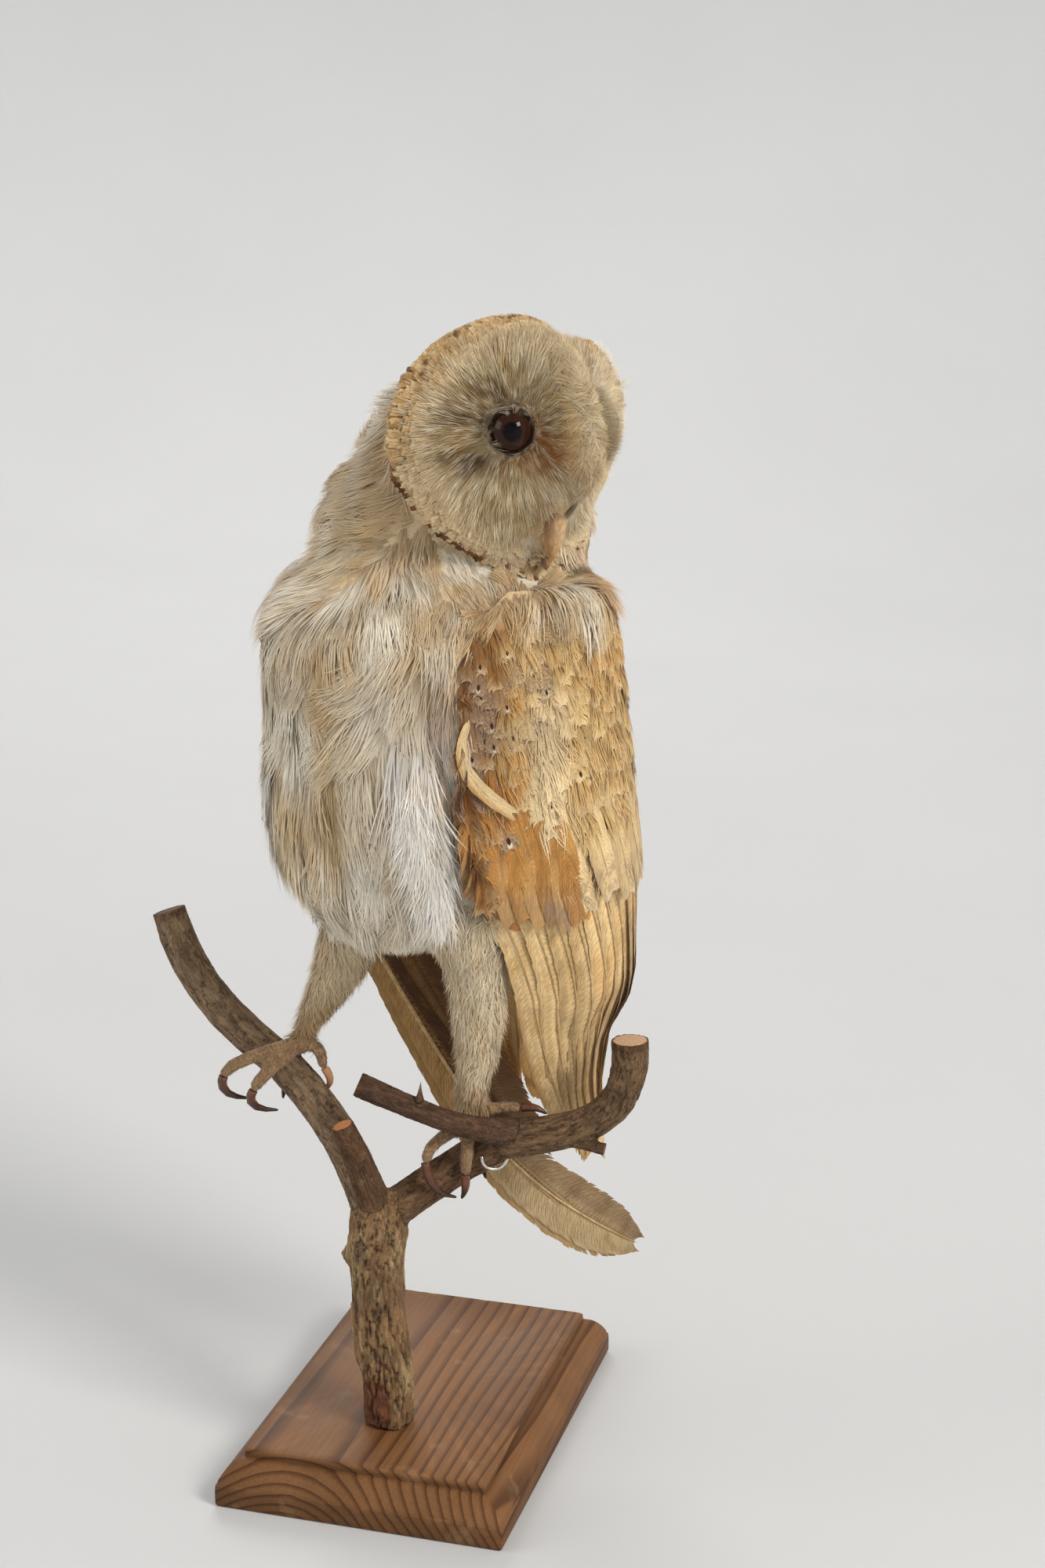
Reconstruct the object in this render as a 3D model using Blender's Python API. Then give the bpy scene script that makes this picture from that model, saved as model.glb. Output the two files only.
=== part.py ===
"""Taxidermy barn owl on a forked branch, fixed on a moulded wooden plinth.

The row frame has its origin under the middle of the plinth: +X along the plinth's short
side, +Y along its long side, +Z up. Branch and bird share a frame of their own, the
specimen frame, which stands on the plinth at the branch's foot and is turned a little.
There the bird is seen from -Y: it faces half left, its head turned the other way.
Sizes are in millimetres and become metres when a mesh is made.
"""

import math

import bmesh
import bpy
import numpy as np
from mathutils import Matrix

MM = 0.001
GAP = 0.35  # clearance between neighbouring pieces
WELD = 0.002

# Plinth: a board with a small step and a cove worked along its top edge.
PLINTH_WIDTH, PLINTH_LENGTH, PLINTH_HEIGHT = 118.0, 170.0, 21.8
SIDE_HEIGHT = 9.5  # the upright part of the edge
STEP_INSET, STEP_BOTTOM = 9.4, 18.2
CORNER_CUT = 0.8
EDGE_EASE = 0.5  # small bevel on the moulding's other edges
COVE_STEPS, COVE_HOLLOW, COVE_SWELL = 5, 0.8, 1.3  # facets of the cove, and its section's powers

# The specimen frame on the plinth.
BRANCH_FOOT = (-2.8, -38.6)
SPECIMEN_TURN = math.radians(15.8)

# Bird: the way the body faces and the way the head faces.
BODY_YAW = math.radians(-40.0)
HEAD_YAW = math.radians(37.0)
HEAD_CENTRE = np.array([49.3, 8.0, 416.0])
FACE_TIP = 51.0  # how far the ridge between the eyes lies ahead of the head's centre
RIDGE_WIDTH = 13.0
DISC_DEPTH = 6.0  # how far each half of the face is dished
FACE_SHARES = (0.12, 0.28, 0.46, 0.64, 0.82, 0.93, 1.0)  # rings from the face's tip to the ruff's edge
BACK_SHARES = (0.06, 0.15, 0.32, 0.55, 0.8)  # rings from there to the back of the head
BALL_HALF_WIDTH, BALL_BACK, BALL_HALF_HEIGHT = 46.0, 42.0, 45.0  # the head behind the ruff
RUFF_BACK = math.radians(13.0)
EYE_RADIUS = 8.0
EYE_SEGMENTS, EYE_RINGS = 12, 8
EYE_PLACE = (25.5, 19.3, 7.0)  # ahead, out to the side, up
NECK_CUT = 378.0  # height of the cut between trunk and neck


def facing(yaw):
    """Forward and left for something that faces -Y at yaw 0 and turns towards +X."""
    forward = np.array([math.sin(yaw), -math.cos(yaw), 0.0])
    left = np.array([math.cos(yaw), math.sin(yaw), 0.0])
    return forward, left


FORWARD, LEFT = facing(BODY_YAW)
HEAD_FORWARD, HEAD_LEFT = facing(HEAD_YAW)


# ---------------------------------------------------------------- tools


def clear_scene():
    for old in list(bpy.data.objects):
        bpy.data.objects.remove(old)


def material(name, colour, roughness=0.7, metallic=0.0):
    made = bpy.data.materials.new(name)
    made.use_nodes = True
    shader = made.node_tree.nodes["Principled BSDF"]
    shader.inputs["Base Color"].default_value = (*colour, 1.0)
    shader.inputs["Roughness"].default_value = roughness
    shader.inputs["Metallic"].default_value = metallic
    return made


def add_object(name, points, faces, surface, parent=None, smooth=True):
    mesh = bpy.data.meshes.new(name)
    mesh.from_pydata((np.asarray(points) * MM).tolist(), [], faces)
    mesh.materials.append(surface)
    if smooth:
        mesh.shade_smooth()
        mesh.set_sharp_from_angle(angle=math.radians(50))
    made = bpy.data.objects.new(name, mesh)
    bpy.context.scene.collection.objects.link(made)
    made.parent = parent
    return made


def catmull(stations, count):
    """A smooth curve of count rows through the stations, of any number of columns."""
    rows = np.asarray(stations, float)
    padded = np.vstack([2 * rows[0] - rows[1], rows, 2 * rows[-1] - rows[-2]])
    made = []
    for at in np.linspace(0, len(rows) - 1, count):
        k = min(int(at), len(rows) - 2)
        t = at - k
        a, b, c, d = padded[k : k + 4]
        square, cube = 2 * a - 5 * b + 4 * c - d, 3 * b - a - 3 * c + d
        made.append(0.5 * (2 * b + (c - a) * t + square * t**2 + cube * t**3))
    return np.array(made)


def loft(rings, strip_ends=False):
    """One closed body through equal rings. Its ends are fans, or strips for a bent, flat ring."""
    rings = [np.asarray(ring, float) for ring in rings]
    sides = len(rings[0])
    points = [p for ring in rings for p in ring]
    faces = []
    for k in range(len(rings) - 1):
        for i in range(sides):
            j = (i + 1) % sides
            faces.append((k * sides + i, k * sides + j, (k + 1) * sides + j))
            faces.append((k * sides + i, (k + 1) * sides + j, (k + 1) * sides + i))
    last = (len(rings) - 1) * sides
    if strip_ends:
        for i in range(sides // 2 - 1):
            j = sides - 1 - i
            faces.append((i + 1, i, j, j - 1))
            faces.append((last + i, last + i + 1, last + j - 1, last + j))
        return points, faces
    first_middle, last_middle = len(points), len(points) + 1
    points += [rings[0].mean(0), rings[-1].mean(0)]
    for i in range(sides):
        j = (i + 1) % sides
        faces.append((first_middle, j, i))
        faces.append((last_middle, last + i, last + j))
    return points, faces


def turned_out(points, faces):
    """The same faces, turned so that they point outwards."""
    points = np.asarray(points)
    volume = 0.0
    for face in faces:
        a = points[face[0]]
        for k in range(1, len(face) - 1):
            volume += np.dot(a, np.cross(points[face[k]], points[face[k + 1]]))
    return faces if volume > 0 else [tuple(reversed(face)) for face in faces]


def tube_rings(path, radii, sides, flatness=1.0, flat_axis=None):
    """Rings square to a path. radii is one number for each ring, flatness the ratio across flat_axis."""
    path = np.asarray(path, float)
    tangents = np.gradient(path, axis=0)
    tangents /= np.linalg.norm(tangents, axis=1)[:, None]
    across = np.array(flat_axis if flat_axis is not None else [0.31, 0.9, 0.31], float)
    rings = []
    for centre, tangent, radius in zip(path, tangents, radii):
        across = across - tangent * np.dot(across, tangent)
        across /= np.linalg.norm(across)
        other = np.cross(tangent, across)
        angles = np.arange(sides) * 2 * math.pi / sides
        ring = np.outer(np.cos(angles), across) * flatness + np.outer(np.sin(angles), other)
        rings.append(centre + radius * ring)
    return rings


def add_tube(name, stations, count, sides, surface, parent, flatness=1.0, flat_axis=None, rounded=False):
    """A tube through stations of (x, y, z, radius)."""
    rows = catmull(stations, count)
    path, radii = rows[:, :3], rows[:, 3]
    if rounded:
        tip = path[-1] - path[-2]
        tip /= np.linalg.norm(tip)
        path = np.vstack([path, path[-1] + tip * radii[-1] * 0.5])
        radii = np.append(radii, radii[-1] * 0.6)
    rings = tube_rings(path, radii, sides, flatness, flat_axis)
    points, faces = loft(rings)
    return add_object(name, points, turned_out(points, faces), surface, parent)


def keep_clear(made, *neighbours):
    """Cuts an object back from its neighbours' whole shapes, so that a gap of GAP stays between them."""
    for other in neighbours:
        points = np.array([v.co for v in other.data.vertices]) / MM
        normals = np.array([v.normal for v in other.data.vertices])
        faces = [tuple(p.vertices) for p in other.data.polygons]
        name = f"{made.name}-{other.name}"
        cutter = add_object(name, points + normals * GAP, faces, other.data.materials[0])
        cutter.parent = other.parent
        cutter.location = other.location
        cutter.hide_render = True
        cutter.display_type = "WIRE"
        cut = made.modifiers.new(f"clear of {other.name}", "BOOLEAN")
        cut.operation = "DIFFERENCE"
        cut.solver = "EXACT"
        cut.object = cutter


def one_body(made):
    """Makes an object's cuts final, and drops the slivers that they leave loose."""
    bpy.context.view_layer.update()
    cut = made.evaluated_get(bpy.context.evaluated_depsgraph_get())
    shape = bmesh.new()
    shape.from_mesh(cut.to_mesh())
    cut.to_mesh_clear()
    bmesh.ops.remove_doubles(shape, verts=shape.verts, dist=WELD * MM)
    bmesh.ops.dissolve_degenerate(shape, edges=shape.edges, dist=WELD * MM)
    loose, bodies = set(shape.verts), []
    while loose:
        body, edge = set(), [next(iter(loose))]
        while edge:
            point = edge.pop()
            if point in body:
                continue
            body.add(point)
            edge += [link.other_vert(point) for link in point.link_edges]
        loose -= body
        bodies.append(body)
    largest = max(bodies, key=len)
    bmesh.ops.delete(shape, geom=[v for v in shape.verts if v not in largest], context="VERTS")
    made.modifiers.clear()
    shape.to_mesh(made.data)
    shape.free()


# ---------------------------------------------------------------- plinth


def plinth(surface):
    half_width, half_length = PLINTH_WIDTH / 2, PLINTH_LENGTH / 2
    profile = [
        (CORNER_CUT, 0.0),
        (0.0, CORNER_CUT),
        (0.0, SIDE_HEIGHT - CORNER_CUT),
        (EDGE_EASE, SIDE_HEIGHT),
    ]
    cove_rise, cove_run = STEP_BOTTOM - SIDE_HEIGHT, STEP_INSET - EDGE_EASE
    for k in range(1, COVE_STEPS + 1):
        angle = k / COVE_STEPS * math.pi / 2
        inset = EDGE_EASE + cove_run * (1 - math.cos(angle)) ** COVE_HOLLOW
        profile.append((inset, SIDE_HEIGHT + cove_rise * math.sin(angle) ** COVE_SWELL))
    profile.append((STEP_INSET, PLINTH_HEIGHT - EDGE_EASE))
    profile.append((STEP_INSET + EDGE_EASE, PLINTH_HEIGHT))
    rings = []
    for inset, height in profile:
        x, y, cut = half_width - inset, half_length - inset, CORNER_CUT
        quarter = [(x - cut, -y), (x, cut - y)]
        corners = quarter + [(px, -py) for px, py in quarter[::-1]]
        corners += [(-px, -py) for px, py in corners]
        rings.append([(px, py, height) for px, py in corners])
    points, faces = loft(rings)
    return add_object("stand_plinth", points, turned_out(points, faces), surface, smooth=False)


# ---------------------------------------------------------------- branch

# Each limb is a few stations of (x, y, z, radius) in the specimen frame.
TRUNK_STATIONS = [
    (0.0, 0.0, PLINTH_HEIGHT + GAP, 10.6),
    (-0.6, 0.2, 45.0, 11.0),
    (-2.6, 0.5, 70.0, 10.4),
    (-3.6, 0.3, 92.0, 10.6),
    (-2.6, 0.0, 108.0, 11.4),
    (-2.4, 0.0, 118.0, 9.0),
]
LEFT_LIMB_STATIONS = [
    (-5.0, 1.0, 114.0, 8.2),
    (-11.0, 3.5, 129.0, 7.9),
    (-17.5, 7.0, 141.0, 7.6),
    (-28.0, 16.0, 153.0, 7.4),
    (-41.0, 24.0, 165.5, 7.4),
    (-59.5, 32.0, 178.5, 7.5),
    (-73.5, 37.0, 193.5, 7.1),
    (-82.5, 40.0, 209.0, 6.9),
    (-87.5, 42.0, 224.0, 6.6),
]
STUB_STATIONS = [
    (-3.5, -3.5, 118.0, 6.4),
    (-8.0, -7.0, 133.0, 5.6),
    (-12.5, -9.0, 145.0, 4.9),
    (-15.6, -9.5, 153.5, 4.4),
]
RIGHT_LIMB_STATIONS = [
    (3.0, 1.0, 113.0, 7.6),
    (16.0, 5.0, 121.5, 7.3),
    (31.0, 8.0, 130.5, 7.6),
    (47.0, 5.0, 142.0, 8.4),
]
FRONT_ARM_STATIONS = [
    (49.0, 2.0, 146.0, 6.0),
    (40.0, -5.0, 149.5, 5.0),
    (27.0, -8.0, 153.8, 4.4),
    (9.0, -9.0, 161.5, 4.3),
    (-9.6, -8.0, 169.6, 4.6),
]
REAR_ARM_STATIONS = [
    (47.0, 4.0, 142.5, 7.8),
    (64.0, 2.0, 145.0, 7.3),
    (80.0, 0.0, 150.5, 6.9),
    (91.0, -2.0, 161.0, 6.9),
    (95.5, -2.0, 174.0, 6.9),
    (95.6, -2.0, 186.0, 7.2),
]
SNAG_STATIONS = [
    (72.0, -2.0, 144.5, 2.6),
    (79.0, -4.0, 143.2, 2.2),
    (86.5, -6.0, 142.0, 2.4),
]
WIRE_CENTRE, WIRE_LOOP_RADIUS, WIRE_RADIUS = np.array([43.3, -1.0, 136.5]), 5.0, 0.7
WIRE_HALF_TURN = 100.0  # degrees of the loop on each side of its lowest point
WIRE_SKEW = 0.25  # how far the loop leans back as it goes across


def bark_wobble(rings, strength, seed):
    """Rings pushed in and out a little, as bark and old twig scars do."""
    chance = np.random.default_rng(seed)
    phase = chance.uniform(0, 2 * math.pi, 4)
    made = []
    for k, ring in enumerate(rings):
        centre = ring.mean(0)
        angles = np.arange(len(ring)) * 2 * math.pi / len(ring)
        swell = np.sin(2 * angles + phase[0] + k * 0.35) + 0.7 * np.sin(3 * angles - phase[1] + k * 0.8)
        swell += 0.8 * math.sin(k * 1.1 + phase[2]) + 0.5 * math.sin(k * 2.3 + phase[3])
        made.append(centre + (ring - centre) * (1 + strength * swell)[:, None])
    return made


def add_limb(name, stations, count, surface, parent, seed, sides=10, strength=0.022):
    rows = catmull(stations, count)
    rings = bark_wobble(tube_rings(rows[:, :3], rows[:, 3], sides), strength, seed)
    points, faces = loft(rings)
    return add_object(name, points, turned_out(points, faces), surface, parent)


def branch(bark, parent):
    trunk = add_limb("stand_trunk", TRUNK_STATIONS, 10, bark, parent, 3, sides=14, strength=0.03)
    left = add_limb("stand_limb_left", LEFT_LIMB_STATIONS, 13, bark, parent, 5)
    stub = add_limb("stand_stub", STUB_STATIONS, 5, bark, parent, 7)
    right = add_limb("stand_limb_right", RIGHT_LIMB_STATIONS, 10, bark, parent, 9)
    rear = add_limb("stand_arm_rear", REAR_ARM_STATIONS, 12, bark, parent, 11)
    front = add_limb("stand_arm_front", FRONT_ARM_STATIONS, 10, bark, parent, 13)
    snag = add_limb("stand_snag", SNAG_STATIONS, 5, bark, parent, 17, sides=8)
    keep_clear(left, trunk)
    keep_clear(stub, trunk, left)
    keep_clear(right, trunk, left, stub)
    keep_clear(rear, right)
    keep_clear(front, right, rear)
    keep_clear(snag, rear)
    return {"left": left, "right": right, "front": front, "rear": rear, "trunk": trunk}


def foot_wire(metal, parent, limbs):
    """The bent end of the wire that holds the left foot, under the right limb."""
    angles = np.radians(np.linspace(-WIRE_HALF_TURN, WIRE_HALF_TURN, 8))
    loop = []
    for angle in angles:
        out = math.sin(angle)
        loop.append(WIRE_CENTRE + WIRE_LOOP_RADIUS * np.array([out, WIRE_SKEW * out, -math.cos(angle)]))
    points, faces = loft(tube_rings(loop, [WIRE_RADIUS] * len(loop), 6))
    made = add_object("stand_foot_wire", points, turned_out(points, faces), metal, parent)
    keep_clear(made, limbs["right"], limbs["rear"])
    return made


# ---------------------------------------------------------------- body

# Body outline, feather tips included: height, centre x and y, half width and half depth, and how far the
# ring is turned from the way the body faces to straight ahead.
TRUNK_OUTLINE = [
    (219.0, 6.0, 18.0, 20.0, 17.0, 0.0),
    (230.0, 8.0, 18.0, 37.0, 35.0, 0.0),
    (246.0, 11.0, 18.0, 49.0, 47.0, 0.0),
    (264.0, 12.5, 18.0, 56.0, 54.0, 0.0),
    (288.0, 14.0, 18.0, 59.0, 57.0, 0.0),
    (315.0, 15.0, 19.0, 61.0, 58.0, 0.0),
    (338.0, 15.0, 19.0, 62.0, 59.0, 0.0),
    (354.0, 17.5, 21.0, 61.0, 55.0, 0.2),
    (364.0, 22.0, 25.0, 58.0, 44.0, 0.6),
    (371.0, 26.0, 28.0, 55.0, 37.0, 0.9),
    (NECK_CUT, 28.5, 29.0, 53.5, 33.5, 1.0),
]
NECK_OUTLINE = [
    (NECK_CUT + GAP, 28.6, 29.0, 53.4, 33.3, 1.0),
    (386.0, 28.2, 28.5, 52.8, 34.0, 1.0),
    (398.0, 31.0, 27.5, 49.6, 34.5, 1.0),
    (412.0, 36.0, 25.0, 45.0, 34.0, 1.0),
    (425.0, 39.5, 23.0, 40.5, 31.0, 1.0),
    (434.0, 42.0, 21.0, 36.0, 27.0, 1.0),
    (441.0, 45.0, 19.0, 24.0, 18.0, 1.0),
]
BODY_SIDES = 20


def oval(centre, height, half_width, half_depth, yaw, sides, squareness=2.25):
    """A level ring, a little squarer than an ellipse, whose depth lies along the way yaw faces."""
    forward, left = facing(yaw)
    angles = np.arange(sides) * 2 * math.pi / sides
    wide = np.sign(np.sin(angles)) * np.abs(np.sin(angles)) ** (2 / squareness) * half_width
    deep = np.sign(np.cos(angles)) * np.abs(np.cos(angles)) ** (2 / squareness) * half_depth
    ring = np.outer(wide, left) + np.outer(deep, forward)
    return ring + np.array([centre[0], centre[1], height])


def trunk(plumage, parent):
    rings = []
    for height, x, y, half_width, half_depth, turned in catmull(TRUNK_OUTLINE, 13):
        rings.append(oval((x, y), height, half_width, half_depth, BODY_YAW * (1 - turned), BODY_SIDES))
    points, faces = loft(rings)
    return add_object("trunk", points, turned_out(points, faces), plumage, parent)


def neck(plumage, parent):
    rings = []
    for height, x, y, half_width, half_depth, turned in catmull(NECK_OUTLINE, 7):
        rings.append(oval((x, y), height, half_width, half_depth, BODY_YAW * (1 - turned), BODY_SIDES))
    points, faces = loft(rings)
    return add_object("neck", points, turned_out(points, faces), plumage, parent)


# ---------------------------------------------------------------- head

# The ruff's edge: degrees round the face from the top, then how far out and how far ahead it lies.
RUFF_EDGE = [
    (0.0, 46.0, 12.0),
    (34.0, 49.6, 6.0),
    (50.0, 52.5, 2.0),
    (66.0, 54.8, 0.0),
    (84.0, 55.6, 0.0),
    (96.0, 54.0, -1.0),
    (109.0, 49.4, 0.0),
    (125.0, 46.4, 3.0),
    (140.0, 45.0, 6.0),
    (158.0, 43.6, 10.0),
    (180.0, 47.0, 16.5),
]
# The ridge down the middle of the face: height above the head's axis, and how far it stands ahead of the
# cone from FACE_TIP to the ruff's edge.
RIDGE_PROFILE = [
    (-47.0, 0.0),
    (-36.0, -2.5),
    (-25.0, 0.5),
    (-17.0, 6.0),
    (-8.0, 5.0),
    (0.0, 1.0),
    (4.0, 3.0),
    (19.0, 12.0),
    (35.0, 16.0),
    (46.0, 0.0),
]


def in_head(ahead, out, above):
    """A point given in the head's own frame. out is positive on the bird's left."""
    return HEAD_CENTRE + ahead * HEAD_FORWARD + out * HEAD_LEFT + np.array([0.0, 0.0, above])


def ruff_edge(turn):
    around = math.degrees(min(turn, 2 * math.pi - turn))
    angles, outs, aheads = zip(*RUFF_EDGE)
    return np.interp(around, angles, outs), np.interp(around, angles, aheads)


def face_point(share, turn):
    """A point on the face. share is 0 at its tip and 1 on the ruff's edge."""
    edge_out, edge_ahead = ruff_edge(turn)
    out, above = edge_out * share * math.sin(turn), edge_out * share * math.cos(turn)
    heights, ridge = zip(*RIDGE_PROFILE)
    near_ridge = math.exp(-((out / RIDGE_WIDTH) ** 2))
    ahead = FACE_TIP * (1 - share) + edge_ahead * share
    ahead += np.interp(above, heights, ridge) * near_ridge
    ahead -= DISC_DEPTH * math.sin(math.pi * share) * (1 - near_ridge)
    return in_head(ahead, out, above)


def back_point(share, turn):
    """A point behind the ruff. share is 0 on its edge and 1 at the back of the head."""
    edge_out, edge_ahead = ruff_edge(turn)
    edge_polar = math.atan2(edge_out, edge_ahead)
    polar = edge_polar + (math.pi - edge_polar) * share
    ahead, off = math.cos(polar), math.sin(polar)
    width, height = off * math.sin(turn), off * math.cos(turn)
    scaled = (ahead / BALL_BACK, width / BALL_HALF_WIDTH, height / BALL_HALF_HEIGHT)
    ball = 1 / math.hypot(*scaled)
    near_edge = math.exp(-(((polar - edge_polar) / RUFF_BACK) ** 2))
    radius = ball + (math.hypot(edge_out, edge_ahead) - ball) * near_edge
    return in_head(radius * ahead, radius * width, radius * height)


def head(plumage, parent, segments=24):
    turns = np.arange(segments) * 2 * math.pi / segments
    rings = [[face_point(share, turn) for turn in turns] for share in FACE_SHARES]
    rings += [[back_point(share, turn) for turn in turns] for share in BACK_SHARES]
    points, faces = loft(rings)
    return add_object("head", points, turned_out(points, faces), plumage, parent)


BILL_STATIONS = [  # ahead of and above the head's centre, half width, half depth
    (20.0, -15.0, 4.6, 5.0),
    (25.5, -22.0, 4.9, 5.6),
    (27.2, -29.0, 4.4, 5.0),
    (26.4, -35.5, 3.2, 3.6),
    (23.4, -41.0, 1.7, 2.1),
    (20.4, -44.5, 0.5, 0.7),
]
LOWER_BILL_STATIONS = [
    (17.0, -26.0, 3.4, 2.6),
    (20.5, -32.0, 3.2, 2.3),
    (21.4, -37.5, 1.8, 1.3),
]


def eye(name, side, glass, parent):
    bpy.ops.mesh.primitive_uv_sphere_add(
        segments=EYE_SEGMENTS, ring_count=EYE_RINGS, radius=EYE_RADIUS * MM
    )
    made = bpy.context.object
    made.name = made.data.name = name
    ahead, out, above = EYE_PLACE
    made.location = in_head(ahead, side * out, above) * MM
    made.parent = parent
    made.data.materials.append(glass)
    made.data.shade_smooth()
    return made


def bill(name, stations, count, horn, parent, sides=10):
    rings = []
    rows = catmull(stations, count)
    path = np.array([in_head(ahead, 0.0, above) for ahead, above, _, _ in rows])
    for centre, tangent, (_, _, wide, deep) in zip(path, np.gradient(path, axis=0), rows):
        across = np.cross(tangent / np.linalg.norm(tangent), HEAD_LEFT)
        angles = np.arange(sides) * 2 * math.pi / sides
        ring = np.outer(np.cos(angles) * wide, HEAD_LEFT) + np.outer(np.sin(angles) * deep, across)
        rings.append(centre + ring)
    points, faces = loft(rings)
    return add_object(name, points, turned_out(points, faces), horn, parent)


# ---------------------------------------------------------------- wings

# A wing is an arched sheet. Each row is a height, then the leading edge, the crown of the arch and the
# trailing edge as (x, y), and the thickness. The left wing is given as it lies; the right one is its
# mirror image.
WING_ROWS = [
    (367.0, 46.0, -24.0, 76.0, -8.0, 80.0, 22.0, 9.0),
    (359.0, 39.0, -34.0, 83.5, -8.0, 78.0, 41.0, 18.0),
    (346.0, 33.5, -43.0, 88.0, -3.0, 75.0, 55.0, 26.0),
    (315.0, 31.0, -45.5, 92.5, 6.0, 71.0, 65.0, 30.0),
    (285.0, 31.0, -45.5, 96.0, 10.0, 70.0, 67.0, 30.0),
    (257.0, 34.5, -40.0, 97.5, 13.0, 70.0, 66.0, 26.0),
    (232.0, 43.0, -22.0, 97.5, 17.0, 72.0, 62.0, 13.0),
    (207.0, 47.0, -8.0, 97.0, 20.0, 73.0, 57.0, 8.5),
    (194.0, 49.0, 0.0, 94.5, 22.0, 73.0, 53.0, 7.0),
    (184.0, 51.0, 4.0, 88.0, 24.0, 73.0, 50.0, 6.0),
    (160.0, 58.5, 14.0, 84.0, 27.0, 74.0, 43.0, 4.6),
    (138.0, 67.0, 20.0, 84.5, 28.0, 77.0, 37.0, 3.4),
    (120.0, 77.0, 25.0, 85.0, 28.0, 82.0, 31.0, 2.0),
]
WING_PART = 0.52  # share of the rows, from the top, that the covert-clad arm takes
RIGHT_TIP_SWING = math.radians(35.0)  # the right wing's quills cross further under the tail
RIGHT_TIP_CHORD = 0.72
SWING_FROM, SWING_TO = 262.0, 222.0


def body_axis(height):
    """The middle of the body, as (x, y), at a height."""
    heights, across, along, *_ = np.array(TRUNK_OUTLINE).T
    return np.array([np.interp(height, heights, across), np.interp(height, heights, along)])


def wing_row(row, side):
    """The three points of a row for one side of the bird."""
    height, ex, ey, qx, qy, tx, ty, thickness = row
    points = np.array([[ex, ey], [qx, qy], [tx, ty]])
    if side < 0:
        middle = body_axis(max(height, SWING_FROM))
        away = points - middle
        points = points - 2 * np.outer(away @ LEFT[:2], LEFT[:2])
        share = min(1.0, max(0.0, (SWING_FROM - height) / (SWING_FROM - SWING_TO)))
        chord = 1 - share * (1 - RIGHT_TIP_CHORD)
        points = points[0] + (points - points[0]) * chord
        angle = -share * RIGHT_TIP_SWING
        turn = np.array([[math.cos(angle), -math.sin(angle)], [math.sin(angle), math.cos(angle)]])
        points = middle + (points - middle) @ turn.T
    return height, points, thickness


def wing_ring(row, side, steps=7):
    """A ring round the sheet at one height: out along the outer face and back along the inner one."""
    height, (edge, crown, trail), thickness = wing_row(row, side)
    pull = (4 * crown - edge - trail) / 2
    outer, inner = [], []
    for k in range(steps + 1):
        t = k / steps
        point = edge * (1 - t) ** 2 + pull * 2 * t * (1 - t) + trail * t**2
        slope = 2 * (1 - t) * (pull - edge) + 2 * t * (trail - pull)
        inward = np.array([-slope[1], slope[0]]) / max(np.linalg.norm(slope), 1e-6)
        if side < 0:
            inward = -inward
        depth = max(0.55, thickness * math.sin(math.pi * t) ** 0.6)
        outer.append([*point, height])
        inner.append([*(point + inward * depth), height])
    return outer + inner[::-1]


def wing(side, plumage, quill, parent):
    """The arm part and the flight part of one wing, with a thin cut between them."""
    name = "wing_left" if side > 0 else "wing_right"
    rows = catmull(WING_ROWS, 17)
    cut = int(len(rows) * WING_PART)
    made = []
    arm_rows, flight_rows = rows[: cut + 1].copy(), rows[cut:].copy()
    flight_rows[0, 0] -= GAP
    for label, part, surface in (("arm", arm_rows, plumage), ("flight", flight_rows, quill)):
        points, faces = loft([wing_ring(row, side) for row in part], strip_ends=True)
        made.append(add_object(f"{name}_{label}", points, turned_out(points, faces), surface, parent))
    return made


# ---------------------------------------------------------------- tail and the splayed quill

TAIL_STATIONS = [  # behind the body axis, to its left, height, half width, half thickness
    (46.0, 0.0, 262.0, 21.0, 9.0),
    (56.0, 0.0, 238.0, 22.0, 7.0),
    (66.0, 0.0, 210.0, 19.5, 4.6),
    (75.0, 0.5, 180.0, 18.5, 3.2),
    (83.0, 1.0, 150.0, 18.5, 2.4),
    (88.0, 1.0, 130.0, 15.0, 1.6),
    (90.0, 1.0, 123.0, 8.0, 1.0),
]
SPLAYED_STATIONS = [  # x, y, z, half width, half thickness
    (-6.0, 40.0, 212.0, 7.0, 1.6),
    (9.0, 47.0, 181.0, 9.0, 1.5),
    (26.0, 53.0, 149.0, 10.5, 1.4),
    (44.0, 58.0, 117.0, 11.5, 1.3),
    (62.0, 59.0, 98.0, 12.5, 1.2),
    (80.0, 57.5, 85.5, 13.0, 1.1),
    (94.0, 55.0, 78.5, 11.5, 0.9),
    (103.0, 53.0, 75.5, 5.5, 0.6),
]
SPLAYED_FACE = np.array([-0.15, -0.95, 0.27])  # the way the flat of the splayed quill faces


def flat_blade(name, path, halves, face, surface, parent, sides=10):
    """A flat, lens-shaped blade along a path, as folded quills are. Its flat side looks along face."""
    rings = []
    for centre, tangent, (wide, thick) in zip(path, np.gradient(path, axis=0), halves):
        across = np.cross(tangent, face)
        across /= np.linalg.norm(across)
        out = np.cross(across, tangent / np.linalg.norm(tangent))
        angles = np.arange(sides) * 2 * math.pi / sides
        ring = np.outer(np.cos(angles) * wide, across) + np.outer(np.sin(angles) * thick, out)
        rings.append(centre + ring)
    points, faces = loft(rings)
    return add_object(name, points, turned_out(points, faces), surface, parent)


def tail(quill, parent):
    rows = catmull(TAIL_STATIONS, 9)
    root = np.array([*body_axis(TAIL_STATIONS[0][2]), 0.0])
    path = [root - FORWARD * row[0] + LEFT * row[1] + np.array([0.0, 0.0, row[2]]) for row in rows]
    return flat_blade("tail", np.array(path), rows[:, 3:], FORWARD, quill, parent)


def splayed_quill(quill, parent):
    rows = catmull(SPLAYED_STATIONS, 11)
    return flat_blade("quill_splayed", rows[:, :3], rows[:, 3:], SPLAYED_FACE, quill, parent)


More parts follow.
